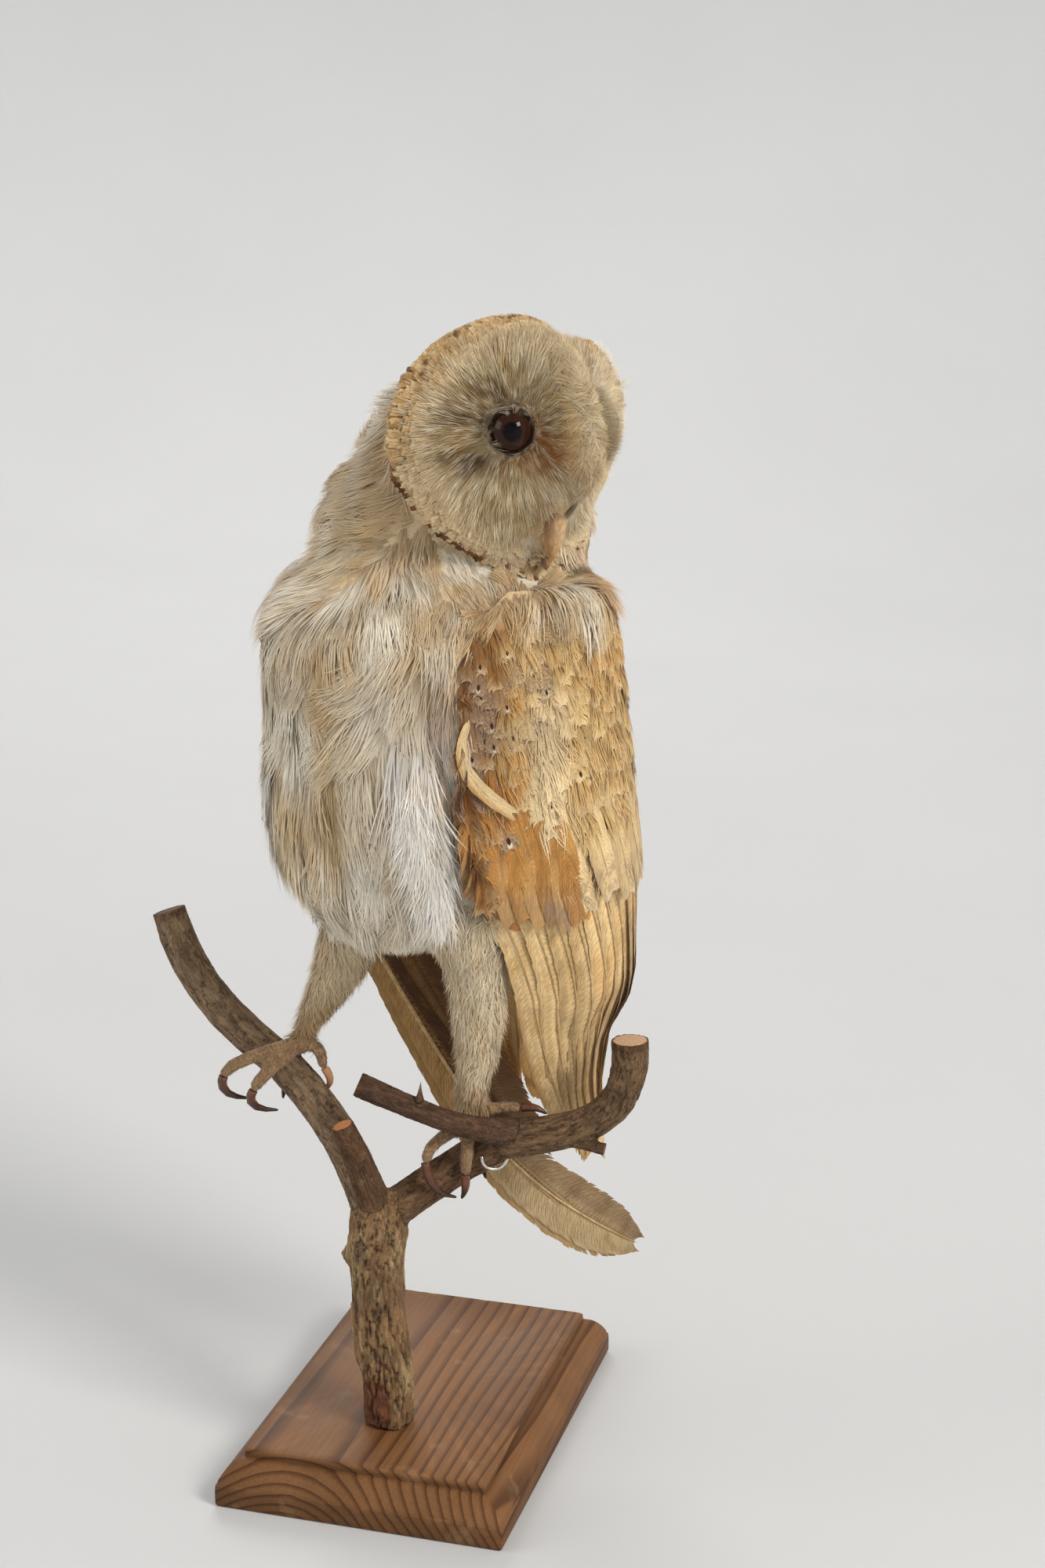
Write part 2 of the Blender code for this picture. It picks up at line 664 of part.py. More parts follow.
# ---------------------------------------------------------------- legs and feet

# Every piece of a leg is a few stations of (x, y, z, radius).
LEGS = {
    "left": {
        "shank": [
            (31.0, -8.0, 246.0, 19.0),
            (34.0, -5.0, 230.0, 16.5),
            (36.5, 0.0, 213.0, 12.0),
            (37.0, 3.0, 194.0, 11.0),
            (36.5, 5.0, 180.0, 9.0),
            (35.0, 6.5, 168.0, 7.2),
            (33.5, 7.5, 156.0, 6.6),
            (33.3, 7.5, 151.0, 6.0),
        ],
        "foot": [
            (33.0, 9.5, 152.5, 3.2),
            (33.0, 7.0, 149.5, 5.0),
            (32.5, 4.0, 147.8, 3.4),
        ],
        "toes": {
            "outer": [
                (30.5, 5.0, 147.5, 3.0),
                (25.0, 0.0, 145.6, 2.9),
                (19.0, -4.5, 143.0, 2.7),
                (16.5, -6.0, 137.3, 2.4),
            ],
            "middle": [
                (33.5, 4.5, 147.3, 3.0),
                (33.0, -0.8, 144.9, 2.9),
                (32.6, -3.4, 138.5, 2.8),
                (31.8, -3.4, 131.5, 2.5),
            ],
            "inner": [
                (36.5, 6.0, 151.5, 3.0),
                (43.0, 6.5, 153.8, 2.8),
                (48.0, 6.5, 154.6, 2.6),
                (52.5, 6.0, 154.4, 2.4),
            ],
            "hind": [
                (34.0, 11.5, 149.5, 3.0),
                (36.5, 17.0, 146.5, 2.8),
                (37.5, 19.3, 141.0, 2.6),
                (37.5, 19.2, 135.0, 2.4),
            ],
        },
        "claws": {
            "outer": [
                (16.4, -6.3, 137.0, 1.7),
                (17.8, -6.2, 130.0, 1.6),
                (21.5, -4.6, 123.3, 1.1),
                (28.2, -1.2, 119.6, 0.3),
            ],
            "middle": [
                (31.8, -3.6, 131.3, 1.8),
                (32.0, -4.0, 126.8, 1.6),
                (31.6, -3.4, 123.0, 1.1),
                (30.4, -2.0, 119.6, 0.3),
            ],
            "inner": [
                (52.8, 6.0, 154.4, 1.7),
                (57.0, 5.4, 155.0, 1.5),
                (60.8, 4.6, 154.4, 1.0),
                (63.5, 4.0, 152.8, 0.3),
            ],
            "hind": [
                (37.5, 19.2, 134.6, 1.7),
                (37.8, 18.4, 129.5, 1.5),
                (38.6, 15.5, 125.0, 1.0),
                (39.6, 11.5, 122.2, 0.3),
            ],
        },
    },
    "right": {
        "shank": [
            (-8.5, 26.0, 240.0, 16.0),
            (-12.0, 25.0, 226.0, 14.0),
            (-15.6, 24.5, 214.5, 12.2),
            (-19.2, 24.5, 205.0, 10.4),
            (-25.5, 24.2, 193.5, 7.6),
            (-30.5, 24.0, 185.0, 5.6),
            (-33.2, 23.5, 179.5, 5.2),
        ],
        "foot": [
            (-33.5, 24.0, 178.5, 3.2),
            (-33.5, 21.5, 175.6, 4.8),
            (-35.0, 18.5, 174.6, 3.6),
        ],
        "toes": {
            "outer": [
                (-37.0, 18.5, 176.0, 3.0),
                (-47.0, 16.5, 173.4, 2.9),
                (-58.8, 16.0, 168.9, 2.8),
                (-63.8, 16.5, 164.2, 2.5),
            ],
            "middle": [
                (-37.0, 16.5, 173.0, 3.0),
                (-43.6, 13.8, 168.6, 3.0),
                (-49.0, 12.6, 163.6, 2.8),
                (-51.6, 12.5, 159.8, 2.5),
            ],
            "inner": [
                (-31.0, 19.5, 176.0, 2.8),
                (-26.8, 17.5, 175.0, 2.7),
                (-25.2, 16.5, 171.5, 2.5),
                (-24.8, 16.5, 167.6, 2.2),
            ],
            "hind": [
                (-33.5, 25.5, 176.0, 3.0),
                (-35.0, 31.5, 173.0, 2.8),
                (-36.5, 34.6, 167.5, 2.6),
                (-38.5, 35.2, 161.5, 2.4),
            ],
        },
        "claws": {
            "outer": [
                (-63.9, 16.6, 163.9, 1.8),
                (-65.0, 17.6, 158.8, 1.7),
                (-61.7, 18.4, 154.4, 1.2),
                (-55.0, 20.5, 152.2, 0.3),
            ],
            "middle": [
                (-51.7, 12.5, 159.5, 1.8),
                (-53.4, 13.2, 154.6, 1.7),
                (-50.2, 14.8, 150.3, 1.2),
                (-43.1, 17.4, 148.5, 0.3),
            ],
            "inner": [
                (-24.4, 16.4, 167.4, 1.6),
                (-22.3, 17.0, 163.0, 1.4),
                (-22.4, 18.0, 159.2, 1.0),
                (-24.8, 20.0, 155.7, 0.3),
            ],
            "hind": [
                (-38.6, 35.2, 161.2, 1.7),
                (-40.6, 34.6, 156.0, 1.5),
                (-41.8, 31.8, 151.8, 1.0),
                (-42.0, 28.0, 149.4, 0.3),
            ],
        },
    },
}


def leg_parts(side, plumage, skin, horn, parent):
    """The pieces of one leg."""
    leg = LEGS[side]
    shank = add_tube(f"shank_{side}", leg["shank"], 9, 11, plumage, parent)
    foot = add_tube(f"foot_{side}", leg["foot"], 5, 8, skin, parent)
    toes, claws = [], []
    for toe, stations in leg["toes"].items():
        toes.append(add_tube(f"toe_{side}_{toe}", stations, 5, 7, skin, parent, rounded=True))
    for toe, stations in leg["claws"].items():
        claws.append(add_tube(f"claw_{side}_{toe}", stations, 6, 6, horn, parent))
    return shank, foot, toes, claws


def part_feet(shank, foot, toes, claws, perch):
    """Thin cuts where the parts of one foot meet each other and the branch."""
    for piece in (shank, foot, *toes, *claws):
        keep_clear(piece, *perch)
    keep_clear(foot, shank)
    for k, piece in enumerate(toes):
        keep_clear(piece, shank, foot, *toes[:k])
    for piece, its_toe in zip(claws, toes):
        keep_clear(piece, its_toe)


# ---------------------------------------------------------------- the whole


def main():
    clear_scene()
    wood = material("wood", (0.36, 0.19, 0.085), 0.5)
    bark = material("bark", (0.15, 0.10, 0.06), 0.9)
    metal = material("wire", (0.7, 0.7, 0.68), 0.3, 1.0)
    cream = material("cream feathers", (0.75, 0.66, 0.5), 0.85)
    buff = material("buff feathers", (0.62, 0.4, 0.17), 0.8)
    quill = material("quills", (0.6, 0.42, 0.2), 0.7)
    skin = material("foot skin", (0.2, 0.13, 0.07), 0.7)
    horn = material("horn", (0.14, 0.055, 0.03), 0.35)
    bill_horn = material("bill horn", (0.6, 0.42, 0.3), 0.4)
    glass = material("eye glass", (0.03, 0.012, 0.008), 0.05)

    plinth(wood)
    specimen = bpy.data.objects.new("specimen", None)
    bpy.context.scene.collection.objects.link(specimen)
    specimen.matrix_world = Matrix.Translation((BRANCH_FOOT[0] * MM, BRANCH_FOOT[1] * MM, 0))
    specimen.matrix_world @= Matrix.Rotation(SPECIMEN_TURN, 4, "Z")
    limbs = branch(bark, specimen)
    foot_wire(metal, specimen, limbs)

    eyes = [eye("eye_left", 1, glass, specimen), eye("eye_right", -1, glass, specimen)]
    upper_bill = bill("bill_upper", BILL_STATIONS, 9, bill_horn, specimen)
    lower_bill = bill("bill_lower", LOWER_BILL_STATIONS, 5, bill_horn, specimen)
    keep_clear(lower_bill, upper_bill)
    owl_head = head(cream, specimen)
    keep_clear(owl_head, *eyes, upper_bill, lower_bill)
    owl_neck = neck(cream, specimen)
    keep_clear(owl_neck, owl_head, upper_bill, lower_bill)
    owl_trunk = trunk(cream, specimen)
    keep_clear(owl_trunk, owl_head, upper_bill, lower_bill)

    left_arm, left_flight = wing(1, buff, quill, specimen)
    right_arm, right_flight = wing(-1, buff, quill, specimen)
    for piece in (left_arm, left_flight, right_arm, right_flight):
        keep_clear(piece, owl_trunk, owl_neck)
    for piece in (left_arm, right_arm):
        keep_clear(piece, owl_head)
    owl_tail = tail(quill, specimen)
    keep_clear(owl_tail, owl_trunk, left_arm, left_flight, right_arm, right_flight)
    splayed = splayed_quill(quill, specimen)
    keep_clear(splayed, owl_trunk, left_flight, right_arm, right_flight, owl_tail)

    perches = {"left": [limbs["right"], limbs["front"], limbs["rear"]], "right": [limbs["left"]]}
    flights = {"left": left_flight, "right": right_flight}
    for side in LEGS:
        shank, foot, toes, claws = leg_parts(side, cream, skin, horn, specimen)
        keep_clear(shank, owl_trunk, flights[side])
        part_feet(shank, foot, toes, claws, perches[side])
    for piece in [item for item in bpy.data.objects if item.modifiers]:
        one_body(piece)


main()
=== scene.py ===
"""Looks of the mounted barn owl: skin, plumage, feet, bill, eyes, branch, plinth, light and camera.

Places are in the specimen frame in millimetres. That frame stands at the branch's foot and is
turned a little on the plinth; the owl is seen from its -Y side. Meshes go out in metres in the
row frame.
"""

import copy
import itertools
import math

import bpy
import numpy as np
from mathutils import Matrix
from mathutils.bvhtree import BVHTree
from mathutils.kdtree import KDTree


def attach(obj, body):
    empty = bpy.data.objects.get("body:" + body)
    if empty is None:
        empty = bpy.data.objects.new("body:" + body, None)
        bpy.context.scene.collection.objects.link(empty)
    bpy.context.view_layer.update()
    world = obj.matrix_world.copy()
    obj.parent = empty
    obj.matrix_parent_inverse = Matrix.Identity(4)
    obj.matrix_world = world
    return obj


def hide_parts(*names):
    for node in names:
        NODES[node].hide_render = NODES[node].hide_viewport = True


MM = 0.001
MOST_TRIANGLES = 190_000  # in one piece of the coat
PATCH = 0.0015  # half the size of a tuft's patch on the OFBake map

BRANCH_FOOT = np.array([-2.8, -38.6, 0.0])
SPECIMEN_TURN = math.radians(15.8)

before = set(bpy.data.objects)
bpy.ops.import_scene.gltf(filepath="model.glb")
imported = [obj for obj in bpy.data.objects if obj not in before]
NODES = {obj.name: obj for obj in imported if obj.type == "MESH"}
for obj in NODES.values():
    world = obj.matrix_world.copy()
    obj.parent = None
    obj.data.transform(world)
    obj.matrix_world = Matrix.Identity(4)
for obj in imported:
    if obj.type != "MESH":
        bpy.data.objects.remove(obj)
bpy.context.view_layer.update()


def facing(degrees):
    """Forward and left for something that faces -Y at yaw 0 and turns towards +X."""
    yaw = math.radians(degrees)
    forward = np.array([math.sin(yaw), -math.cos(yaw), 0.0])
    left = np.array([math.cos(yaw), math.sin(yaw), 0.0])
    return forward, left


SPIN = np.array(
    [
        [math.cos(SPECIMEN_TURN), -math.sin(SPECIMEN_TURN), 0.0],
        [math.sin(SPECIMEN_TURN), math.cos(SPECIMEN_TURN), 0.0],
        [0.0, 0.0, 1.0],
    ]
)
UP = np.array([0.0, 0.0, 1.0])
ASKEW = np.array([0.31, 0.9, 0.31])  # along no branch or quill, so that rings can start from it
BODY_FORWARD, BODY_LEFT = facing(-40.0)
HEAD_FORWARD, HEAD_LEFT = facing(37.0)
HEAD_CENTRE = np.array([49.3, 8.0, 416.0])
EYE_PLACE = np.array([25.5, 19.3, 7.0])  # ahead, out, above
EYE_RADIUS = 8.0
GAZE_OUT = 34.0  # degrees that each eye looks outwards from the head's axis


def to_row(points):
    return (np.asarray(points) @ SPIN.T + BRANCH_FOOT) * MM


def to_specimen(points):
    return (np.asarray(points) / MM - BRANCH_FOOT) @ SPIN


def in_head(ahead, out, above):
    """A place given from the head's centre. out is towards the head's left."""
    return HEAD_CENTRE + ahead * HEAD_FORWARD + out * HEAD_LEFT + above * UP


def head_coordinates(points):
    away = np.asarray(points) - HEAD_CENTRE
    return away @ HEAD_FORWARD, away @ HEAD_LEFT, away[..., 2]


def unit(vectors):
    return vectors / np.maximum(np.linalg.norm(vectors, axis=-1, keepdims=True), 1e-9)


def step(low, high, values):
    """A smooth rise from 0 at low to 1 at high. With low above high it falls."""
    share = np.clip((np.asarray(values, float) - low) / (high - low), 0.0, 1.0)
    return share * share * (3 - 2 * share)


def band(low, high, soft, values):
    """1 between low and high, fading to 0 over soft on both sides."""
    return step(low - soft, low + soft, values) * step(high + soft, high - soft, values)


def blob(points, centre, size):
    """A soft spot round a centre. size is one radius or one for each axis."""
    away = (np.asarray(points) - np.array(centre)) / np.array(size)
    return np.exp(-np.sum(away * away, axis=-1))


def lattice(cells, seed):
    """A number from 0 to 1 for each whole-numbered cell, the same on every run."""
    mixed = cells[..., 0] * 73856093 ^ cells[..., 1] * 19349663 ^ cells[..., 2] * 83492791
    mixed = (mixed ^ (seed * 2654435761)) & 0xFFFFFFFF
    mixed = ((mixed ^ (mixed >> 15)) * 2246822519) & 0xFFFFFFFF
    mixed = ((mixed ^ (mixed >> 13)) * 3266489917) & 0xFFFFFFFF
    return (mixed ^ (mixed >> 16)) / 0xFFFFFFFF


def cloud(points, size, seed=0, octaves=2):
    """Smooth noise from 0 to 1 whose lumps are about size across. size may differ by axis."""
    total, weight = 0.0, 0.0
    for octave in range(octaves):
        at = np.asarray(points, float) / np.array(size) * 2**octave
        cell = np.floor(at).astype(np.int64)
        share = at - cell
        share = share * share * (3 - 2 * share)
        value = 0.0
        for corner in range(8):
            offset = np.array([corner & 1, corner >> 1 & 1, corner >> 2 & 1])
            near = np.prod(np.where(offset, share, 1 - share), axis=-1)
            value = value + near * lattice(cell + offset, seed + octave * 17)
        total = total + value * 0.55**octave
        weight += 0.55**octave
    return total / weight


def tint(seen):
    """Colours given as they are seen on a screen, 0 to 255, in linear light."""
    seen = np.array(seen) / 255
    return np.where(seen <= 0.04045, seen / 12.92, ((seen + 0.055) / 1.055) ** 2.4)


def blend(tone, colour, share):
    """A tone with a share of a colour over it. Tuples are colours as they are seen on a screen."""
    tone, colour = (tint(each) if isinstance(each, tuple) else each for each in (tone, colour))
    share = np.asarray(share)[..., None]
    return tone * (1 - share) + colour * share


def layered(tone, *layers):
    """A tone with more colours laid over it in turn, each with its share."""
    for colour, share in layers:
        tone = blend(tone, colour, share)
    return tone


def catmull(stations, count):
    """A smooth curve of count rows through the stations, of any number of columns."""
    rows = np.asarray(stations, float)
    padded = np.vstack([2 * rows[0] - rows[1], rows, 2 * rows[-1] - rows[-2]])
    made = []
    for at in np.linspace(0, len(rows) - 1, count):
        k = min(int(at), len(rows) - 2)
        t = at - k
        a, b, c, d = padded[k : k + 4]
        square, cube = 2 * a - 5 * b + 4 * c - d, 3 * b - a - 3 * c + d
        made.append(0.5 * (2 * b + (c - a) * t + square * t**2 + cube * t**3))
    return np.array(made)


# ---------------------------------------------------------------- meshes


def mesh_object(name, points, faces, material, attributes=None, maps=None):
    """An object from specimen points and faces of equal length. attributes are for each point."""
    points, faces = np.asarray(points, np.float32), np.asarray(faces, np.int32)
    mesh = bpy.data.meshes.new(name)
    mesh.vertices.add(len(points))
    mesh.vertices.foreach_set("co", to_row(points).astype(np.float32).ravel())
    mesh.loops.add(faces.size)
    mesh.loops.foreach_set("vertex_index", faces.ravel())
    mesh.polygons.add(len(faces))
    mesh.polygons.foreach_set("loop_start", np.arange(0, faces.size, faces.shape[1], dtype=np.int32))
    mesh.update(calc_edges=True)
    mesh.validate()
    mesh.shade_smooth()
    for label, values in (attributes or {}).items():
        values = np.asarray(values, np.float32)
        if label == "tone":
            layer = mesh.color_attributes.new(label, "FLOAT_COLOR", "POINT")
            values = np.hstack([values, np.ones((len(values), 1), np.float32)])
            layer.data.foreach_set("color", values.ravel())
        else:
            layer = mesh.attributes.new(label, "FLOAT_VECTOR", "POINT")
            layer.data.foreach_set("vector", values.ravel())
    for label, values in (maps or {}).items():
        layer = mesh.uv_layers.new(name=label)
        layer.data.foreach_set("uv", np.asarray(values, np.float32)[faces.ravel()].ravel())
    mesh.materials.append(material)
    made = bpy.data.objects.new(name, mesh)
    bpy.context.scene.collection.objects.link(made)
    return made


def place(piece, slot, *replaced):
    """The piece rides with the model and stands for CAD nodes, which it hides. slot is not used."""
    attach(piece, "root")
    if replaced:
        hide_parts(*replaced)
    return piece


def points_of(mesh):
    points = np.empty(len(mesh.vertices) * 3, np.float32)
    mesh.vertices.foreach_get("co", points)
    return points.reshape(-1, 3).astype(float)


def triangles_of(mesh):
    mesh.calc_loop_triangles()
    found = np.empty(len(mesh.loop_triangles) * 3, np.int32)
    mesh.loop_triangles.foreach_get("vertices", found)
    return found.reshape(-1, 3)


def normals_at(points, faces):
    """Point normals of a mesh of triangles or quads."""
    corners = points[faces]
    across = np.cross(corners[:, 2] - corners[:, 0], corners[:, -1] - corners[:, 1])
    total = np.zeros_like(points)
    for k in range(faces.shape[1]):
        np.add.at(total, faces[:, k], across)
    return unit(total)


def relax(points, faces, rounds, amount=0.5):
    """Evens a mesh out. amount may be given for each point."""
    sides = faces.shape[1]
    starts = np.concatenate([faces[:, k] for k in range(sides)])
    ends = np.concatenate([faces[:, (k + 1) % sides] for k in range(sides)])
    count = np.bincount(starts, minlength=len(points)) + np.bincount(ends, minlength=len(points))
    amount = np.broadcast_to(amount, len(points))[:, None]
    for _ in range(rounds):
        total = np.zeros_like(points)
        for axis in range(3):
            total[:, axis] = np.bincount(starts, points[ends, axis], len(points))
            total[:, axis] += np.bincount(ends, points[starts, axis], len(points))
        points = points + (total / np.maximum(count, 1)[:, None] - points) * amount
    return points


def cad_shape(name):
    """A CAD node's points, in specimen millimetres, and its triangles."""
    mesh = NODES[name].data
    return to_specimen(points_of(mesh)), triangles_of(mesh)


def joined(shapes):
    """Several shapes as one, each given as its points and its faces."""
    starts = np.cumsum([0] + [len(points) for points, _ in shapes])
    faces = [faces + start for (_, faces), start in zip(shapes, starts)]
    return np.vstack([points for points, _ in shapes]), np.vstack(faces)


def fused(names, voxel, swell, extra=()):
    """CAD nodes, swollen a little, and extra closed shapes as one body of quads."""
    shapes = []
    for points, faces in map(cad_shape, names):
        shapes.append((points + normals_at(points, faces) * swell, faces))
    points, faces = joined([*shapes, *extra])
    mesh = bpy.data.meshes.new("rough")
    mesh.from_pydata(points.tolist(), [], faces.tolist())
    rough = bpy.data.objects.new("rough", mesh)
    bpy.context.scene.collection.objects.link(rough)
    remesh = rough.modifiers.new("one body", "REMESH")
    remesh.mode = "VOXEL"
    remesh.voxel_size = voxel
    bpy.context.view_layer.update()
    whole = rough.evaluated_get(bpy.context.evaluated_depsgraph_get())
    result = whole.to_mesh()
    made = points_of(result)
    quads = np.empty(len(result.loops), np.int32)
    result.loops.foreach_get("vertex_index", quads)
    whole.to_mesh_clear()
    bpy.data.objects.remove(rough)
    return made, quads.reshape(-1, 4)


def loft(rings, closed_ends=True):
    """Triangles through rings of equal length, and fans that close the ends. They face outwards."""
    sides = len(rings[0])
    points = [p for ring in rings for p in ring]
    faces = []
    for k in range(len(rings) - 1):
        for i in range(sides):
            j = (i + 1) % sides
            faces.append((k * sides + i, k * sides + j, (k + 1) * sides + j))
            faces.append((k * sides + i, (k + 1) * sides + j, (k + 1) * sides + i))
    if closed_ends:
        last = (len(rings) - 1) * sides
        first_middle, last_middle = len(points), len(points) + 1
        points += [np.mean(rings[0], axis=0), np.mean(rings[-1], axis=0)]
        for i in range(sides):
            j = (i + 1) % sides
            faces.append((first_middle, j, i))
            faces.append((last_middle, last + i, last + j))
    points, faces = np.array(points), np.array(faces)
    corners = points[faces]
    volume = np.einsum("ij,ij->i", corners[:, 0], np.cross(corners[:, 1], corners[:, 2])).sum()
    return points, faces if volume > 0 else faces[:, ::-1]


def ellipse(sides, first, second, turn=0.0):
    """Points round an ellipse whose half axes are two vectors."""
    angles = turn + np.arange(sides) * 2 * math.pi / sides
    return np.outer(np.cos(angles), first) + np.outer(np.sin(angles), second)


def tube_rings(path, radii, sides):
    """Rings square to a path."""
    path = np.asarray(path, float)
    across = ASKEW
    rings = []
    for centre, tangent, radius in zip(path, unit(np.gradient(path, axis=0)), radii):
        across = unit(across - tangent * np.dot(across, tangent))
        rings.append(centre + radius * ellipse(sides, across, np.cross(tangent, across)))
    return rings


def ball(centre, radius, sides=24, rows=14, pole_gap=0.12):
    rings = []
    for polar in np.linspace(pole_gap, math.pi - pole_gap, rows):
        flat = ellipse(sides, (1, 0, 0), (0, 1, 0)) * math.sin(polar)
        rings.append(centre + radius * (flat + math.cos(polar) * UP))
    return loft(rings)


# ---------------------------------------------------------------- materials


class Shader:
    """A node material, built step by step. Plain colours are given as they are seen on a screen."""

    def __init__(self, name, roughness=0.7, **settings):
        self.material = bpy.data.materials.new(name)
        self.material.use_nodes = True
        self.tree = self.material.node_tree
        self.principled = self.tree.nodes["Principled BSDF"]
        self.principled.inputs["Roughness"].default_value = roughness
        for label, value in settings.items():
            self.principled.inputs[label.replace("_", " ")].default_value = value

    def add(self, kind, **settings):
        made = self.tree.nodes.new("ShaderNode" + kind)
        for label, value in settings.items():
            setattr(made, label, value)
        return made

    def feed(self, socket, value):
        if isinstance(value, bpy.types.NodeSocket):
            self.tree.links.new(value, socket)
        elif value is not None:
            socket.default_value = (*tint(value), 1.0) if socket.type == "RGBA" else value

    def fed(self, node, *values):
        """The first output of a node whose first inputs take some values."""
        for socket, value in zip(node.inputs, values):
            self.feed(socket, value)
        return node.outputs[0]

    def tone(self):
        return self.add("Attribute", attribute_name="tone").outputs["Color"]

    def vector(self, name):
        return self.add("Attribute", attribute_name=name).outputs["Vector"]

    def place(self):
        return self.add("TexCoord").outputs["Object"]

    def split(self, vector):
        made = self.add("SeparateXYZ")
        self.feed(made.inputs[0], vector)
        return made.outputs

    def join(self, x, y, z):
        return self.fed(self.add("CombineXYZ"), x, y, z)

    def math(self, operation, first, second=None):
        return self.fed(self.add("Math", operation=operation), first, second)

    def product(self, first, *others):
        for other in others:
            first = self.math("MULTIPLY", first, other)
        return first

    def sum(self, first, second):
        return self.math("ADD", first, second)

    def off(self, value, middle, reach):
        """Square of how far a value lies from the middle, in units of reach."""
        away = self.math("SUBTRACT", value, middle) if middle else value
        return self.math("POWER", self.math("DIVIDE", away, reach), 2.0)

    def length(self, x, y):
        return self.math("SQRT", self.sum(self.product(x, x), self.product(y, y)))

    def times(self, vector, factors):
        return self.fed(self.add("VectorMath", operation="MULTIPLY"), vector, factors)

    def noise(self, vector, scale, detail=3.0, roughness=0.55, distortion=0.0):
        made = self.add("TexNoise")
        self.feed(made.inputs["Vector"], vector)
        self.feed(made.inputs["Scale"], scale)
        self.feed(made.inputs["Detail"], detail)
        self.feed(made.inputs["Roughness"], roughness)
        self.feed(made.inputs["Distortion"], distortion)
        return made.outputs["Fac"]

    def cells(self, vector, scale):
        made = self.add("TexVoronoi")
        self.feed(made.inputs["Vector"], vector)
        self.feed(made.inputs["Scale"], scale)
        return made.outputs["Distance"]

    def rise(self, value, low, high, to_low=0.0, to_high=1.0):
        """Smooth step from to_low at low to to_high at high."""
        made = self.add("MapRange", interpolation_type="SMOOTHSTEP")
        return self.fed(made, value, low, high, to_low, to_high)

    def mix(self, share, first, second, kind="MIX"):
        made = self.add("Mix", data_type="RGBA", blend_type=kind)
        self.feed(made.inputs[0], share)
        self.feed(made.inputs[6], first)
        self.feed(made.inputs[7], second)
        return made.outputs[2]

    def scaled(self, colour, value):
        """A colour made lighter or darker by a value."""
        grey = self.fed(self.add("CombineColor"), value, value, value)
        return self.mix(1.0, colour, grey, "MULTIPLY")

    def varied(self, colour, value, dark, light, low=0.3, high=0.7):
        """A colour scaled from dark to light as a value rises from low to high."""
        return self.scaled(colour, self.rise(value, low, high, dark, light))

    def finish(self, colour=None, height=None, strength=0.3, distance=0.3, roughness=None):
        """Colour, bump height with its depth in millimetres, and roughness go into the shader."""
        self.feed(self.principled.inputs["Base Color"], colour)
        self.feed(self.principled.inputs["Roughness"], roughness)
        if height is not None:
            bump = self.add("Bump")
            self.feed(bump.inputs["Strength"], strength)
            self.feed(bump.inputs["Distance"], distance * MM)
            self.feed(bump.inputs["Height"], height)
            self.feed(self.principled.inputs["Normal"], bump.outputs[0])
        return self.material


WHITE = (240, 232, 214)
CREAM = (222, 198, 158)
TAN = (200, 164, 112)
GOLD = (214, 164, 92)
PALE_GOLD = (226, 190, 128)
GREY_BROWN = (126, 100, 78)
VERMICULE = (150, 128, 110)
DARK = (58, 34, 20)
LILAC = (158, 142, 140)


def plumage_material(name, streak=0.34, strand_bands=0.0):
    """Barbs, shaft, dark drops ringed with white and grey speckles. The tone comes with the mesh."""
    s = Shader(name, 0.75, Sheen_Weight=0.25, Sheen_Roughness=0.4, Specular_IOR_Level=0.3)
    u, v, seed = s.split(s.vector("vane"))
    along, across, _ = s.split(s.vector("barb"))
    chance = s.product(seed, 57.0)
    fine = s.noise(s.join(s.product(across, 1.6), s.product(along, 1.3), chance), 2.6, 2.0)
    colour = s.varied(s.tone(), fine, 1.0 - streak, 1.0 + streak * 0.45)
    if strand_bands:
        root = s.math("SUBTRACT", u, s.product(s.math("ABSOLUTE", v), 0.38))
        strands = s.noise(s.join(s.product(root, strand_bands), s.math("SIGN", v), chance), 1.0, 2.0)
        colour = s.varied(colour, strands, 0.72, 1.16, 0.32, 0.68)
    colour = s.varied(colour, s.noise(s.place(), 160.0, 2.0), 0.9, 1.06)
    colour = s.varied(colour, seed, 0.9, 1.08, 0.0, 1.0)
    drop, grey, pale = s.split(s.vector("marks"))
    speckle = s.rise(s.noise(s.place(), 1300.0, 1.0), 0.42, 0.6)
    colour = s.mix(s.product(grey, 0.62), colour, VERMICULE)
    colour = s.mix(s.product(grey, speckle), colour, GREY_BROWN)
    ring = s.rise(s.sum(s.off(v, 0.0, 0.16), s.off(u, 0.88, 0.06)), 0.7, 1.2, 1.0, 0.0)
    colour = s.mix(s.product(ring, drop, pale), colour, WHITE)
    core = s.rise(s.sum(s.off(v, 0.0, 0.13), s.off(u, 0.81, 0.07)), 0.6, 1.2, 1.0, 0.0)
    colour = s.mix(s.product(core, drop), colour, DARK)
    return s.finish(colour, fine, strength=0.5, distance=0.25)


def hair_material(name, streak=0.3):
    """Fine loose strands, each a little lighter towards its tip."""
    s = Shader(name, 0.7, Sheen_Weight=0.3, Sheen_Roughness=0.4, Specular_IOR_Level=0.3)
    along, across, seed = s.split(s.vector("barb"))
    fine = s.noise(s.join(s.product(across, 1.2), along, s.product(seed, 41.0)), 2.2, 1.0)
    colour = s.varied(s.tone(), fine, 1.0 - streak, 1.0 + streak * 0.5)
    colour = s.varied(colour, seed, 0.86, 1.1, 0.0, 1.0)
    colour = s.varied(colour, along, 0.84, 1.04, 0.0, 0.7)
    return s.finish(colour, fine, strength=0.3, distance=0.15)


